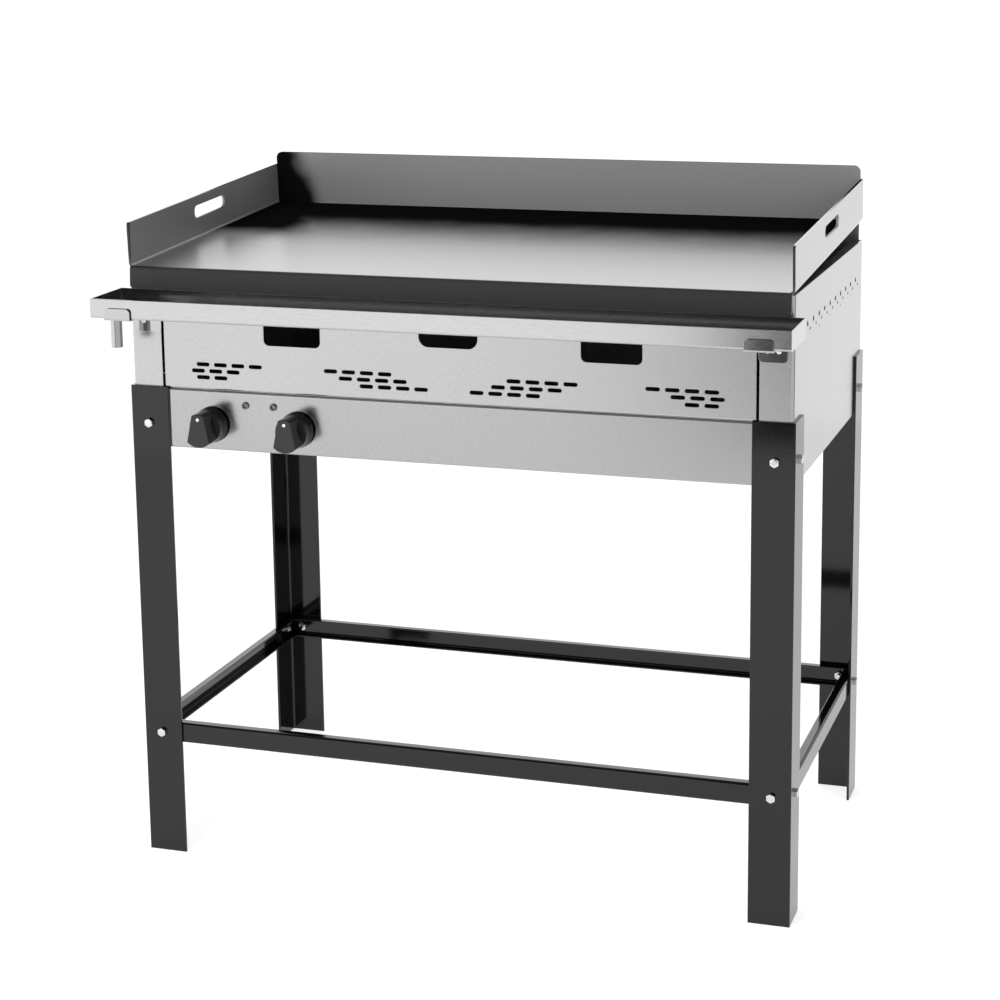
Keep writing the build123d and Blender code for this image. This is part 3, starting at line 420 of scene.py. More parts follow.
@dataclass(frozen=True)
class PlateSteel:
    """Dark rolled steel of the griddle plate.

    The cooking surface is ground and oiled. Shade and dark reflection are painted black into it along
    the back wall and in the rear left corner, and a painted shadow lies on the back wall's left end. The
    walls keep a dull grey scale, the front lip's dark grey is a painted reflection of the tray's dark
    inside and the outer sides are bare.
    """

    name: str = "oiled_rolled_griddle_steel"
    wall: str = "#8a8a8a"
    floor: str = "#a4a4a4"
    # Dark grey of the lip: a painted reflection of the tray's dark inside.
    lip: str = "#373737"
    outside: str = "#cfcfcf"
    # Black of the painted shade and dark reflection along the back wall and in the rear left corner.
    painted_shade: str = "#0c0c0c"
    wall_gloss: float = 0.38
    floor_gloss: float = 0.3
    wall_metal: float = 0.35
    grain_mm: tuple[float, float, float] = (60.0, 1.4, 1.4)
    relief: float = 0.05
    relief_mm: float = 0.02
    edge_mm: float = 0.6
    lip_y: float = -186 * MM
    lip_edge: float = 1 * MM
    flat_facing: tuple[float, float] = (0.6, 0.95)
    inner_facing: tuple[float, float] = (-0.5, -0.9)
    outside_reach: tuple[float, float] = (0.1, 0.3)
    # The painted shade deepens towards the back wall over this span, and into the rear left corner over the
    # next two.
    painted_shade_y: tuple[float, float] = (-15 * MM, 175 * MM)
    corner_x: tuple[float, float] = (-230 * MM, -330 * MM)
    corner_y: tuple[float, float] = (-20 * MM, 80 * MM)
    # A painted shadow lies on the back wall's inner face at its left end, with a slanting edge.
    end_x: tuple[float, float] = (-366 * MM, -402 * MM)
    end_lean: float = 0.48
    end_top: float = 865 * MM
    end_y: tuple[float, float] = (225 * MM, 255 * MM)
    wander: float = 36 * MM
    wander_mm: float = 70.0
    wander_detail: float = 3.0
    wall_specular: float = 0.5
    # The painted shade and the floor keep no specular shine; the lip's painted reflection keeps less than
    # the walls.
    painted_shade_specular: float = 0.0
    lip_specular: float = 0.2

    def wandering(self, tree: bpy.types.NodeTree, place: bpy.types.NodeSocket) -> bpy.types.NodeSocket:
        """Shift each place by noise, up to half the wander either way, so that the painted shade's edges
        run unevenly.

        Args:
            tree: node tree of the material.
            place: Object coordinates.

        Returns:
            The shifted coordinates.
        """
        drift = add_node(
            tree,
            "ShaderNodeTexNoise",
            Vector=place,
            Scale=1 / (self.wander_mm * MM),
            Detail=self.wander_detail,
        )
        centred = add_node(tree, "ShaderNodeMapping", Vector=place, Location=(-self.wander / 2,) * 3)
        loose = add_node(
            tree, "ShaderNodeVectorMath", {"operation": "MULTIPLY_ADD"}, Vector=drift.outputs["Color"]
        )
        loose.inputs[1].default_value = (self.wander,) * 3
        tree.links.new(centred.outputs["Vector"], loose.inputs[2])
        return loose.outputs["Vector"]

    def zones(self, tree: bpy.types.NodeTree, place: bpy.types.Node) -> PlateZones:
        """Read the zones off each point's place and facing.

        Args:
            tree: node tree of the material.
            place: node with the coordinates and the normal.

        Returns:
            The sockets of the zones.
        """
        spot = add_node(tree, "ShaderNodeSeparateXYZ", Vector=place.outputs["Object"])
        loose = self.wandering(tree, place.outputs["Object"])
        smear = add_node(tree, "ShaderNodeSeparateXYZ", Vector=loose)
        facing = add_node(tree, "ShaderNodeSeparateXYZ", Vector=place.outputs["Normal"])
        flat = add_node(
            tree,
            "ShaderNodeMapRange",
            Value=facing.outputs["Z"],
            From_Min=self.flat_facing[0],
            From_Max=self.flat_facing[1],
        ).outputs["Result"]
        # The front lip, whose dark colour is a painted reflection.
        lip = add_node(
            tree,
            "ShaderNodeMapRange",
            Value=spot.outputs["Y"],
            From_Min=self.lip_y + self.lip_edge,
            From_Max=self.lip_y - self.lip_edge,
        ).outputs["Result"]
        away = add_node(tree, "ShaderNodeMath", {"operation": "MULTIPLY"})
        tree.links.new(spot.outputs["X"], away.inputs[0])
        tree.links.new(facing.outputs["X"], away.inputs[1])
        outside = add_node(
            tree,
            "ShaderNodeMapRange",
            Value=away.outputs["Value"],
            From_Min=self.outside_reach[0],
            From_Max=self.outside_reach[1],
        ).outputs["Result"]
        # Painted shade: the floor darkens towards the back wall and into the rear left corner.
        back = add_node(
            tree,
            "ShaderNodeMapRange",
            SMOOTH,
            Value=smear.outputs["Y"],
            From_Min=self.painted_shade_y[0],
            From_Max=self.painted_shade_y[1],
            To_Max=flat,
        ).outputs["Result"]
        rear = add_node(
            tree,
            "ShaderNodeMapRange",
            SMOOTH,
            Value=smear.outputs["Y"],
            From_Min=self.corner_y[0],
            From_Max=self.corner_y[1],
        ).outputs["Result"]
        corner = add_node(
            tree,
            "ShaderNodeMapRange",
            SMOOTH,
            Value=smear.outputs["X"],
            From_Min=self.corner_x[0],
            From_Max=self.corner_x[1],
            To_Max=rear,
        ).outputs["Result"]
        # Painted shadow on the back wall's inner face at its left end.
        behind = add_node(
            tree,
            "ShaderNodeMapRange",
            SMOOTH,
            Value=spot.outputs["Y"],
            From_Min=self.end_y[0],
            From_Max=self.end_y[1],
        ).outputs["Result"]
        inner = add_node(
            tree,
            "ShaderNodeMapRange",
            Value=facing.outputs["Y"],
            From_Min=self.inner_facing[0],
            From_Max=self.inner_facing[1],
            To_Max=behind,
        ).outputs["Result"]
        slant = add_node(tree, "ShaderNodeVectorMath", {"operation": "DOT_PRODUCT"}, Vector=loose)
        slant.inputs[1].default_value = (1.0, 0.0, self.end_lean)
        end = add_node(
            tree,
            "ShaderNodeMapRange",
            SMOOTH,
            Value=slant.outputs["Value"],
            From_Min=self.end_x[0] + self.end_lean * self.end_top,
            From_Max=self.end_x[1] + self.end_lean * self.end_top,
            To_Max=inner,
        ).outputs["Result"]
        # The floor's painted shade and the painted shadow on the wall make one zone.
        dark = add_node(tree, "ShaderNodeMath", {"operation": "MAXIMUM"})
        tree.links.new(back, dark.inputs[0])
        tree.links.new(corner, dark.inputs[1])
        floor = add_node(tree, "ShaderNodeMapRange", Value=flat, To_Max=dark.outputs["Value"])
        painted_shade = add_node(tree, "ShaderNodeMath", {"operation": "MAXIMUM"})
        tree.links.new(floor.outputs["Result"], painted_shade.inputs[0])
        tree.links.new(end, painted_shade.inputs[1])
        return PlateZones(flat, lip, outside, end, painted_shade.outputs["Value"])

    def colour(self, tree: bpy.types.NodeTree, zones: PlateZones) -> bpy.types.NodeSocket:
        """Lay the zones' tones over the walls' tone, the painted shade last.

        Args:
            tree: node tree of the material.
            zones: sockets of the zones.

        Returns:
            The mixed colour.
        """
        colour = None
        for zone, tone in (
            (zones.flat, self.floor),
            (zones.lip, self.lip),
            (zones.outside, self.outside),
            (zones.painted_shade, self.painted_shade),
        ):
            mix = add_node(tree, "ShaderNodeMix", {"data_type": "RGBA"}, Factor=zone)
            if colour is None:
                mix.inputs[MIX_FIRST].default_value = hex_linear(self.wall)
            else:
                tree.links.new(colour, mix.inputs[MIX_FIRST])
            mix.inputs[MIX_SECOND].default_value = hex_linear(tone)
            colour = mix.outputs[MIX_RESULT]
        return colour

    def material(self) -> bpy.types.Material:
        """Build the material from the plate's zones.

        Returns:
            The finished material, ready for a slot.
        """
        made = bpy.data.materials.new(self.name)
        made.use_nodes = True
        tree = made.node_tree
        tree.nodes.clear()
        place = add_node(tree, "ShaderNodeTexCoord")
        scale = tuple(1 / (size * MM) for size in self.grain_mm)
        stretched = add_node(tree, "ShaderNodeMapping", Vector=place.outputs["Object"], Scale=scale)
        grain = add_node(
            tree,
            "ShaderNodeTexNoise",
            Vector=stretched.outputs["Vector"],
            Scale=1.0,
            Detail=GRAIN_DETAIL,
        )
        zones = self.zones(tree, place)
        ground = add_node(tree, "ShaderNodeMath", {"operation": "MAXIMUM"})
        tree.links.new(zones.flat, ground.inputs[0])
        tree.links.new(zones.outside, ground.inputs[1])
        gloss = add_node(
            tree,
            "ShaderNodeMapRange",
            Value=ground.outputs["Value"],
            To_Min=self.wall_gloss,
            To_Max=self.floor_gloss,
        )
        bare = add_node(tree, "ShaderNodeMapRange", Value=ground.outputs["Value"], To_Min=self.wall_metal)
        # The painted shade takes all metal away, so that it shows as its black colour.
        metal = add_node(
            tree,
            "ShaderNodeMapRange",
            Value=zones.painted_shade,
            To_Min=bare.outputs["Result"],
            To_Max=0.0,
        )
        # The lip's painted reflection keeps less specular shine than the walls; the painted shade keeps
        # none.
        upright = add_node(
            tree,
            "ShaderNodeMapRange",
            Value=zones.lip,
            To_Min=self.wall_specular,
            To_Max=self.lip_specular,
        )
        matt = add_node(tree, "ShaderNodeMath", {"operation": "MAXIMUM"})
        tree.links.new(zones.flat, matt.inputs[0])
        tree.links.new(zones.end, matt.inputs[1])
        shine = add_node(
            tree,
            "ShaderNodeMapRange",
            Value=matt.outputs["Value"],
            To_Min=upright.outputs["Result"],
            To_Max=self.painted_shade_specular,
        )
        eased = add_node(tree, "ShaderNodeBevel", EASED_EDGE, Radius=self.edge_mm * MM)
        bump = add_node(
            tree,
            "ShaderNodeBump",
            Strength=self.relief,
            Distance=self.relief_mm * MM,
            Height=grain.outputs["Fac"],
            Normal=eased.outputs["Normal"],
        )
        shader = add_node(
            tree,
            "ShaderNodeBsdfPrincipled",
            Base_Color=self.colour(tree, zones),
            Roughness=gloss.outputs["Result"],
            Metallic=metal.outputs["Result"],
            Specular_IOR_Level=shine.outputs["Result"],
            Normal=bump.outputs["Normal"],
        )
        add_node(tree, "ShaderNodeOutputMaterial", Surface=shader.outputs["BSDF"])
        return made


PLATE_STEEL = PlateSteel()

SLOT_FINISHES = {
    "stainless_sheet": BRUSHED_STAINLESS,
    "galvanised_sheet": GALVANISED_SHEET,
    "black_paint": BLACK_ENAMEL,
    "zinc_plate": BRIGHT_ZINC,
    "brass": TURNED_BRASS,
    "feed_tube": DRAWN_ALUMINIUM,
    "burner_steel": BURNER_STEEL,
    "spring_steel": GROUND_STEEL,
    "knob_plastic": PHENOLIC_KNOB,
    "pointer_white": POINTER_PAINT,
    "griddle_steel": PLATE_STEEL,
    "dark_steel": BLACKENED_STEEL,
}

# Nodes whose surface differs from the rest of their slot.
NODE_FINISHES = {
    "control_panel": SATIN_STAINLESS,
    "grease_tray": BRIGHT_STAINLESS,
    "tray_hook_left": POLISHED_STAINLESS,
    "tray_hook_right": POLISHED_STAINLESS,
    "drain_spout": POLISHED_STAINLESS,
}


class Wardrobe:
    """Holds one material per slot and dresses nodes and new pieces with them."""

    def __init__(self) -> None:
        """Make every material once."""
        self.materials = {slot: finish.material() for slot, finish in SLOT_FINISHES.items()}
        self.special = {finish: finish.material() for finish in dict.fromkeys(NODE_FINISHES.values())}

    def dress_nodes(self) -> None:
        """Give each node of the frame the material of its record slot."""
        slots = {entry["node"]: entry["material_slot"] for entry in frame["record"]["subparts"]}
        for name, node in frame["nodes"].items():
            special = NODE_FINISHES.get(name)
            made = self.special[special] if special else self.materials[slots[name]]
            for holder in node.material_slots:
                holder.material = made
            LOG.info("dressed %s as %s", name, made.name)

    def dress(self, piece: bpy.types.Object, slot: Slot) -> None:
        """Give a new piece the material of a slot."""
        piece.data.materials.append(self.materials[slot.value])


class Surface:
    """Collects grids of points and turns them into one closed, smooth mesh."""

    MERGE = 1e-7
    DEGENERATE = 1e-8
    SHARP_DEG = 35.0

    def __init__(self) -> None:
        """Start with no points and no faces."""
        self.points: list[np.ndarray] = []
        self.faces: list[np.ndarray] = []
        self.count = 0

    def add_rings(self, rings: np.ndarray) -> None:
        """Add a surface of closed rings: row i joins row i + 1, and each row closes on itself.

        Args:
            rings: array of shape (rows, columns, 3).
        """
        rows, columns = rings.shape[:2]
        index = np.arange(rows * columns).reshape(rows, columns) + self.count
        turned = np.roll(index, -1, axis=1)
        quads = np.stack([index[:-1], turned[:-1], turned[1:], index[1:]], axis=-1)
        self.points.append(rings.reshape(-1, 3))
        self.faces.append(quads.reshape(-1, 4))
        self.count += rows * columns

    def build(self, name: str) -> bpy.types.Object:
        """Make the object at the origin, with poles merged, normals pointing out and steep edges sharp.

        Args:
            name: the piece's name.

        Returns:
            The new object, linked to the scene.
        """
        mesh = bpy.data.meshes.new(name)
        mesh.from_pydata(np.concatenate(self.points).tolist(), [], np.concatenate(self.faces).tolist())
        work = bmesh.new()
        work.from_mesh(mesh)
        bmesh.ops.remove_doubles(work, verts=work.verts, dist=self.MERGE)
        bmesh.ops.dissolve_degenerate(work, edges=work.edges, dist=self.DEGENERATE)
        bmesh.ops.recalc_face_normals(work, faces=work.faces)
        work.to_mesh(mesh)
        work.free()
        mesh.shade_smooth()
        mesh.set_sharp_from_angle(angle=math.radians(self.SHARP_DEG))
        piece = bpy.data.objects.new(name, mesh)
        bpy.context.scene.collection.objects.link(piece)
        return piece


@dataclass(frozen=True)
class Seat:
    """A place on an upright face: a point and the way out of the surface."""

    origin: Vector
    outward: Vector

    def place(self, local: np.ndarray) -> np.ndarray:
        """Carry local points (across, up, out) to the object's frame."""
        basis = np.array([UP.cross(self.outward), UP, self.outward])
        return local @ basis + np.array(self.origin)


def turned(profile: np.ndarray, angles: np.ndarray) -> np.ndarray:
    """Turn a profile about the out axis: ring i lies at radius r_i and height h_i.

    Args:
        profile: rows of radius and height.
        angles: angles of the columns, in radians.

    Returns:
        Points of shape (rows, columns, 3).
    """
    radius, height = profile[:, :1], profile[:, 1:]
    flat = np.ones_like(angles)[None, :]
    return np.stack([radius * np.cos(angles), radius * np.sin(angles), height * flat], axis=-1)


def hexagon_radius(angles: np.ndarray, flat_radius: float, corner_share: float) -> np.ndarray:
    """Radius of a hexagon: the flat's distance over the cosine to the nearest flat, eased at corners.

    Args:
        angles: angles of the columns, in radians.
        flat_radius: distance of the flats from the middle.
        corner_share: how much of a sharp corner's radius an eased corner keeps.

    Returns:
        The radius at each angle.
    """
    nearest = (angles + math.pi / 6) % (math.pi / 3) - math.pi / 6
    return np.minimum(flat_radius / np.cos(nearest), corner_share * flat_radius / math.cos(math.pi / 6))


@dataclass(frozen=True)
class StandBolts:
    """Hexagon bolts and nuts that hold the legs to the casing and to the rails."""

    inset: float = 23.5 * MM
    casing_bolt_height: float = 557 * MM
    rail_bolt_height: float = 158 * MM
    flat_radius: float = 5 * MM
    head_height: float = 4 * MM
    nut_height: float = 5 * MM
    shank_radius: float = 3 * MM
    tail: float = 2 * MM
    leg_sheet: float = 3 * MM
    rail_sheet: float = 2 * MM
    casing_sheet: float = 1 * MM
    chamfer: float = 0.5
    corner_share: float = 0.985
    bearing_share: float = 0.97
    crown_share: float = 0.6
    tip_share: float = 0.2
    columns: int = 72

    def seats(self, height: float) -> list[tuple[bool, Seat]]:
        """Seats on the four legs at one height.

        Args:
            height: height of the bolts above the floor.

        Returns:
            Pairs of whether the seat is on a front or rear face, and the seat.
        """
        found = []
        for end, way in (("front", -1), ("rear", 1)):
            for side, sign in (("left", -1), ("right", 1)):
                low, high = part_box(f"leg_{end}_{side}")
                face_y = low.y if way < 0 else high.y
                flank_x = low.x if sign < 0 else high.x
                face = Vector((flank_x - sign * self.inset, face_y, height))
                flank = Vector((flank_x, face_y - way * self.inset, height))
                found.append((True, Seat(face, Vector((0, way, 0)))))
                found.append((False, Seat(flank, Vector((sign, 0, 0)))))
        return found

    def hexagon(self, low: float, high: float, top_cut: bool, bottom_cut: bool) -> np.ndarray:
        """Rings of a hexagonal prism whose corners are cut by a cone at its ends.

        A ring at radius r on a cut end lies lower by chamfer times the part of r beyond the flats.

        Args:
            low: height of the lower end.
            high: height of the upper end.
            top_cut: whether the upper end's corners are cut.
            bottom_cut: whether the lower end's corners are cut.

        Returns:
            Points of shape (rows, columns, 3).
        """
        angles = np.linspace(0, 2 * math.pi, self.columns, endpoint=False)
        edge = hexagon_radius(angles, self.flat_radius, self.corner_share)
        inner = self.bearing_share * self.flat_radius
        drop = self.chamfer * (edge - inner)
        rings = []
        for radius, height in (
            (0 * edge, low + 0 * edge),
            (inner + 0 * edge, low + 0 * edge),
            (edge, low + drop * bottom_cut),
            (edge, high - drop * top_cut),
            (inner + 0 * edge, high + 0 * edge),
            (self.crown_share * inner + 0 * edge, high + 0 * edge),
            (0 * edge, high + 0 * edge),
        ):
            rings.append(np.stack([radius * np.cos(angles), radius * np.sin(angles), height], axis=-1))
        return np.array(rings)

    def shank(self, low: float, high: float) -> np.ndarray:
        """Rings of the round shank, with a chamfered tip."""
        angles = np.linspace(0, 2 * math.pi, self.columns, endpoint=False)
        tip = self.tip_share * self.shank_radius
        profile = np.array(
            [
                (0, low),
                (self.shank_radius - tip, low),
                (self.shank_radius, low + tip),
                (self.shank_radius, high),
                (0, high),
            ]
        )
        return turned(profile, angles)

    def build(self, wardrobe: Wardrobe) -> None:
        """Model both groups of bolts and nuts in place of their plain nodes."""
        casing_grip = self.leg_sheet + self.casing_sheet
        rail_grip = self.leg_sheet + self.rail_sheet
        groups = (
            ("leg", self.casing_bolt_height, self.leg_sheet + 2 * self.casing_sheet, casing_grip),
            ("rail", self.rail_bolt_height, rail_grip, rail_grip),
        )
        for group, height, face_grip, flank_grip in groups:
            bolts, nuts = Surface(), Surface()
            for on_face, seat in self.seats(height):
                grip = face_grip if on_face else flank_grip
                bolts.add_rings(seat.place(self.hexagon(0, self.head_height, True, False)))
                bolts.add_rings(seat.place(self.shank(-grip - self.nut_height - self.tail, 0)))
                nuts.add_rings(seat.place(self.hexagon(-grip - self.nut_height, -grip, True, True)))
            for kind, surface in (("bolts", bolts), ("nuts", nuts)):
                piece = surface.build(f"{group}_hexagon_{kind}")
                wardrobe.dress(piece, Slot.ZINC)
                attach(piece, Body.STAND.value)
                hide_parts(f"{group}_{kind}")
                LOG.info("built %s", piece.name)


@dataclass(frozen=True)
class HookRivets:
    """Domed rivets that hold the tray hooks."""

    spacing: float = 13 * MM
    rise: float = 13.2 * MM
    sheet: float = 1.5 * MM
    head_radius: float = 3.2 * MM
    head_height: float = 1.6 * MM
    shank_radius: float = 1.6 * MM
    shank_length: float = 4 * MM
    columns: int = 32
    rings: int = 8

    def build(self, wardrobe: Wardrobe) -> None:
        """Model the four rivets: a spherical cap on a plain shank."""
        angles = np.linspace(0, 2 * math.pi, self.columns, endpoint=False)
        sweep = np.linspace(math.pi / 2, 0, self.rings)
        cap = np.stack([self.head_radius * np.cos(sweep), self.head_height * np.sin(sweep)], axis=-1)
        shank = [(self.shank_radius, 0), (self.shank_radius, -self.shank_length), (0, -self.shank_length)]
        rivet = turned(np.vstack([cap, shank]), angles)
        surface = Surface()
        for side in SIDES:
            low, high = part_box(f"tray_hook_{side}")
            for shift in (-self.spacing / 2, self.spacing / 2):
                spot = Vector(((low.x + high.x) / 2 + shift, high.y - self.sheet, low.z + self.rise))
                surface.add_rings(Seat(spot, Vector((0, -1, 0))).place(rivet))
        piece = surface.build("hook_domed_rivets")
        wardrobe.dress(piece, Slot.ZINC)
        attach(piece, Body.STAND.value)
        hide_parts("hook_rivets")
        LOG.info("built %s", piece.name)


@dataclass(frozen=True)
class PanelScrews:
    """Round-headed screws of the control panel, each with a dished recess."""

    head_height: float = 2.4 * MM
    head_edge: float = 1 * MM
    shank_radius: float = 2 * MM
    recess_radius: float = 2.9 * MM
    recess_floor: float = 1.8 * MM
    recess_depth: float = 1.9 * MM
    columns: int = 48
    rings: int = 7

    def profile(self, radius: float, length: float) -> np.ndarray:
        """Section of one screw: a dish, a flat rim, a quarter circle down to the seat, then the shank.

        Args:
            radius: radius of the head.
            length: length of the shank behind the panel.

        Returns:
            Rows of radius and height, from the middle of the dish to the tip.
        """
        sweep = np.linspace(math.pi / 2, 0, self.rings)
        rim = radius - self.head_edge
        shoulder = self.head_height - self.head_edge
        rounded = np.stack(
            [rim + self.head_edge * np.cos(sweep), shoulder + self.head_edge * np.sin(sweep)], axis=-1
        )
        dish = [
            (0, self.head_height - self.recess_depth),
            (self.recess_floor, self.head_height - self.recess_depth),
            (self.recess_radius, self.head_height),
        ]
        shank = [(radius, 0), (self.shank_radius, 0), (self.shank_radius, -length), (0, -length)]
        return np.vstack([dish, rounded, shank])

    def build(self, wardrobe: Wardrobe) -> None:
        """Model both screws in place of their node."""
        low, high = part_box("control_panel_screws")
        radius = (high.z - low.z) / 2
        profile = self.profile(radius, high.y - low.y - self.head_height)
        angles = np.linspace(0, 2 * math.pi, self.columns, endpoint=False)
        surface = Surface()
        for spot_x in (low.x + radius, high.x - radius):
            spot = Vector((spot_x, low.y + self.head_height, (low.z + high.z) / 2))
            surface.add_rings(Seat(spot, Vector((0, -1, 0))).place(turned(profile, angles)))
        piece = surface.build("panel_recessed_screws")
        wardrobe.dress(piece, Slot.SCREW)
        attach(piece, Body.STAND.value)
        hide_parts("control_panel_screws")
        LOG.info("built %s", piece.name)


@dataclass(frozen=True)
class ReturnSprings:
    """Coil springs behind the knobs, which shorten as a knob is pushed in."""

    wire: float = 0.8 * MM
    turns: int = 4
    steps_per_turn: int = 36
    columns: int = 12

    def coil(self, low: Vector, high: Vector) -> np.ndarray:
        """Rings of one coil: circles across a helix along Y, with a point at each end.

        The helix runs at radius R about the box's middle line and rises evenly with its angle. A circle
        lies in the plane of the radial way and of the way across both the radial way and the wire.

        Args:
            low: lowest corner of the spring's box.
            high: highest corner of the spring's box.

        Returns:
            Points of shape (rows, columns, 3).
        """
        radius = (high.x - low.x - self.wire) / 2
        height = high.y - low.y - self.wire
        turn = np.linspace(0, 2 * math.pi * self.turns, self.steps_per_turn * self.turns + 1)
        radial = np.stack([np.cos(turn), 0 * turn, np.sin(turn)], axis=-1)
        rise = height / turn[-1]
        along = np.stack([-radius * np.sin(turn), rise + 0 * turn, radius * np.cos(turn)], axis=-1)
        across = np.cross(along / np.linalg.norm(along, axis=-1, keepdims=True), radial)
        start = np.array([(low.x + high.x) / 2, low.y + self.wire / 2, (low.z + high.z) / 2])
        middle = start + radius * radial + rise * turn[:, None] * np.array([0, 1, 0])
        angles = np.linspace(0, 2 * math.pi, self.columns, endpoint=False)[None, :, None]
        section = np.cos(angles) * radial[:, None] + np.sin(angles) * across[:, None]
        tube = middle[:, None] + self.wire / 2 * section
        ends = np.repeat(middle[[0, -1], None], self.columns, axis=1)
        return np.concatenate([ends[:1], tube, ends[1:]])

    def build(self, wardrobe: Wardrobe) -> None:
        """Model both springs; each keeps its front end on the knob's stem."""
        for side, body in zip(SIDES, (Body.KNOB_LEFT, Body.KNOB_RIGHT)):
            low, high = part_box(f"stem_spring_{side}")
            surface = Surface()
            surface.add_rings(self.coil(low, high))
            piece = surface.build(f"return_spring_coil_{side}")
            wardrobe.dress(piece, Slot.SPRING)
            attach(piece, body.value)
            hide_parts(f"stem_spring_{side}")
            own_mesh(piece)
            LOG.info("built %s", piece.name)


@dataclass(frozen=True)
class SoftBox:
    """A square soft light that neither the camera nor a mirror image shows."""

    name: str
    place: tuple[float, float, float]
    aim: tuple[float, float, float]
    size: float
    power: float

    def build(self) -> None:
        """Hang the light and turn it towards its aim."""
        data = bpy.data.lights.new(self.name, "AREA")
        data.shape = "SQUARE"
        data.size = self.size
        data.energy = self.power
        light = bpy.data.objects.new(self.name, data)
        light.location = self.place
        light.rotation_euler = (Vector(self.aim) - Vector(self.place)).to_track_quat("-Z", "Y").to_euler()
        light.visible_camera = False
        light.visible_glossy = False
        bpy.context.scene.collection.objects.link(light)


SOFT_BOXES = (
    SoftBox("front_soft_box", (-0.8, -2.2, 2.6), (0.0, 0.0, 0.7), 1.5, 80.0),
    SoftBox("right_soft_box", (2.2, -0.9, 1.8), (0.0, 0.0, 0.8), 1.2, 19.0),
)


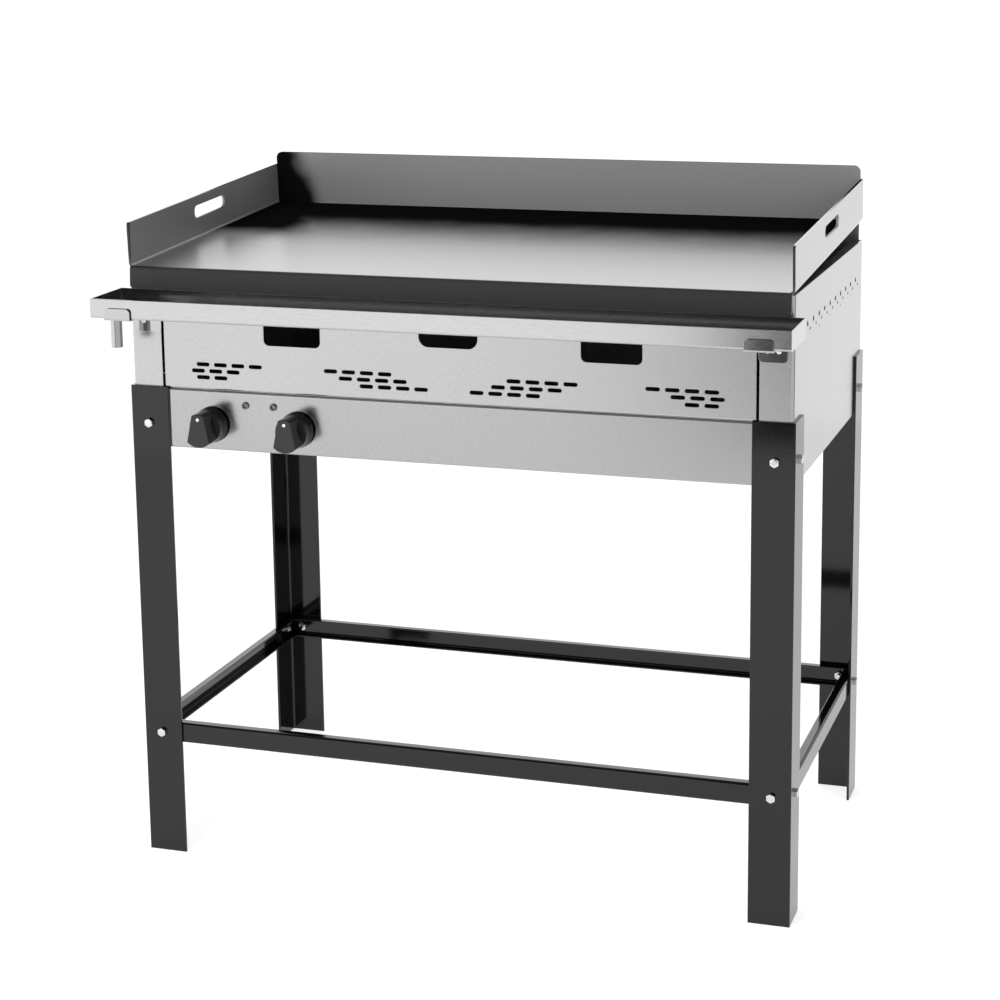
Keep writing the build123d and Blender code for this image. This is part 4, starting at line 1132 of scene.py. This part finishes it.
@dataclass(frozen=True)
class Studio:
    """White floor, surrounding light and the camera at the photograph's view."""

    floor_radius: float = 2.6
    floor_columns: int = 96
    floor_colour: str = "#b0b0b0"
    floor_roughness: float = 0.9
    floor_glow: float = 0.75
    rear_left_level: float = 1.6
    rear_right_level: float = 1.2
    rear_way: tuple[float, float] = (-0.1, 0.15)
    shut_level: float = 0.45
    shut_way: tuple[float, float] = (0.25, 0.42)
    side_way: tuple[float, float] = (-0.2, 0.6)
    front_level: float = 0.08
    fill_level: float = 0.9
    fill_way: tuple[float, float] = (-0.13, 0.05)
    lit_level: float = 1.55
    lit_way: tuple[float, float] = (-0.205, -0.22)
    low_way: tuple[float, float] = (0.35, 0.12)
    backdrop_level: float = 1.05
    eye: tuple[float, float, float] = (0.884814, -2.648645, 1.169559)
    azimuth_deg: float = 17.796
    elevation_deg: float = 10.916
    roll_deg: float = -0.572
    focal_px: float = 2280.65
    principal_px: tuple[float, float] = (525.0, 350.0)
    image_px: float = 1000.0
    sensor_mm: float = 36.0

    def floor(self) -> None:
        """Lay a round, pale, matt floor."""
        angles = np.linspace(0, 2 * math.pi, self.floor_columns, endpoint=False)
        surface = Surface()
        surface.add_rings(turned(np.array([(0.0, 0.0), (self.floor_radius, 0.0)]), angles))
        floor = surface.build("studio_floor")
        made = bpy.data.materials.new("pale_studio_floor")
        made.use_nodes = True
        shader = made.node_tree.nodes["Principled BSDF"]
        shader.inputs["Base Color"].default_value = hex_linear(self.floor_colour)
        shader.inputs["Roughness"].default_value = self.floor_roughness
        shader.inputs["Emission Color"].default_value = (1, 1, 1, 1)
        shader.inputs["Emission Strength"].default_value = self.floor_glow
        floor.data.materials.append(made)

    def surroundings(self) -> None:
        """Surround the object with a white studio that has a dim gap near the photograph's view.

        Each ramp blends two levels of light along one axis of the way out. The camera sees plain white.
        """
        world = bpy.data.worlds.new("white_studio")
        world.use_nodes = True
        tree = world.node_tree
        tree.nodes.clear()
        way = add_node(tree, "ShaderNodeTexCoord").outputs["Generated"]
        parts = add_node(tree, "ShaderNodeSeparateXYZ", Vector=way)
        fill = add_node(
            tree,
            "ShaderNodeMapRange",
            SMOOTH,
            Value=parts.outputs["X"],
            From_Min=self.fill_way[0],
            From_Max=self.fill_way[1],
            To_Min=self.front_level,
            To_Max=self.fill_level,
        )
        lit = add_node(
            tree,
            "ShaderNodeMapRange",
            SMOOTH,
            Value=parts.outputs["X"],
            From_Min=self.lit_way[0],
            From_Max=self.lit_way[1],
            To_Min=fill.outputs["Result"],
            To_Max=self.lit_level,
        )
        front = add_node(
            tree,
            "ShaderNodeMapRange",
            SMOOTH,
            Value=parts.outputs["Z"],
            From_Min=self.low_way[0],
            From_Max=self.low_way[1],
            To_Min=self.front_level,
            To_Max=lit.outputs["Result"],
        )
        rear = add_node(
            tree,
            "ShaderNodeMapRange",
            SMOOTH,
            Value=parts.outputs["X"],
            From_Min=self.rear_way[0],
            From_Max=self.rear_way[1],
            To_Min=self.rear_left_level,
            To_Max=self.rear_right_level,
        )
        shut = add_node(
            tree,
            "ShaderNodeMapRange",
            SMOOTH,
            Value=parts.outputs["X"],
            From_Min=self.shut_way[0],
            From_Max=self.shut_way[1],
            To_Min=rear.outputs["Result"],
            To_Max=self.shut_level,
        )
        level = add_node(
            tree,
            "ShaderNodeMapRange",
            SMOOTH,
            Value=parts.outputs["Y"],
            From_Min=self.side_way[0],
            From_Max=self.side_way[1],
            To_Min=front.outputs["Result"],
            To_Max=shut.outputs["Result"],
        )
        light = add_node(tree, "ShaderNodeBackground", Strength=level.outputs["Result"], Color=(1, 1, 1, 1))
        plain = add_node(tree, "ShaderNodeBackground", Strength=self.backdrop_level, Color=(1, 1, 1, 1))
        seen = add_node(tree, "ShaderNodeLightPath").outputs["Is Camera Ray"]
        both = add_node(tree, "ShaderNodeMixShader", Fac=seen)
        tree.links.new(light.outputs["Background"], both.inputs[1])
        tree.links.new(plain.outputs["Background"], both.inputs[2])
        add_node(tree, "ShaderNodeOutputWorld", Surface=both.outputs["Shader"])
        bpy.context.scene.world = world

    def camera(self) -> None:
        """Set up the camera from its place, its angles and its focal length in pixels."""
        data = bpy.data.cameras.new("photo_camera")
        data.sensor_width = self.sensor_mm
        data.lens = self.focal_px / self.image_px * self.sensor_mm
        data.shift_x = (self.image_px / 2 - self.principal_px[0]) / self.image_px
        data.shift_y = (self.principal_px[1] - self.image_px / 2) / self.image_px
        camera = bpy.data.objects.new("photo_camera", data)
        azimuth, elevation = math.radians(self.azimuth_deg), math.radians(self.elevation_deg)
        turn = Matrix.Rotation(azimuth, 4, "Z") @ Matrix.Rotation(math.pi / 2 - elevation, 4, "X")
        turn = turn @ Matrix.Rotation(math.radians(self.roll_deg), 4, "Z")
        camera.matrix_world = Matrix.Translation(self.eye) @ turn
        bpy.context.scene.collection.objects.link(camera)
        bpy.context.scene.camera = camera

    def build(self) -> None:
        """Build the stage, its light and the camera."""
        self.floor()
        self.surroundings()
        for box in SOFT_BOXES:
            box.build()
        self.camera()
        bpy.context.scene.view_settings.view_transform = "Standard"
        LOG.info("built studio")


def main() -> None:
    """Build the studio, dress the frame and model the pieces."""
    logging.basicConfig(level=logging.INFO)
    Studio().build()
    wardrobe = Wardrobe()
    wardrobe.dress_nodes()
    StandBolts().build(wardrobe)
    HookRivets().build(wardrobe)
    PanelScrews().build(wardrobe)
    ReturnSprings().build(wardrobe)


if __name__ == "__main__":
    main()
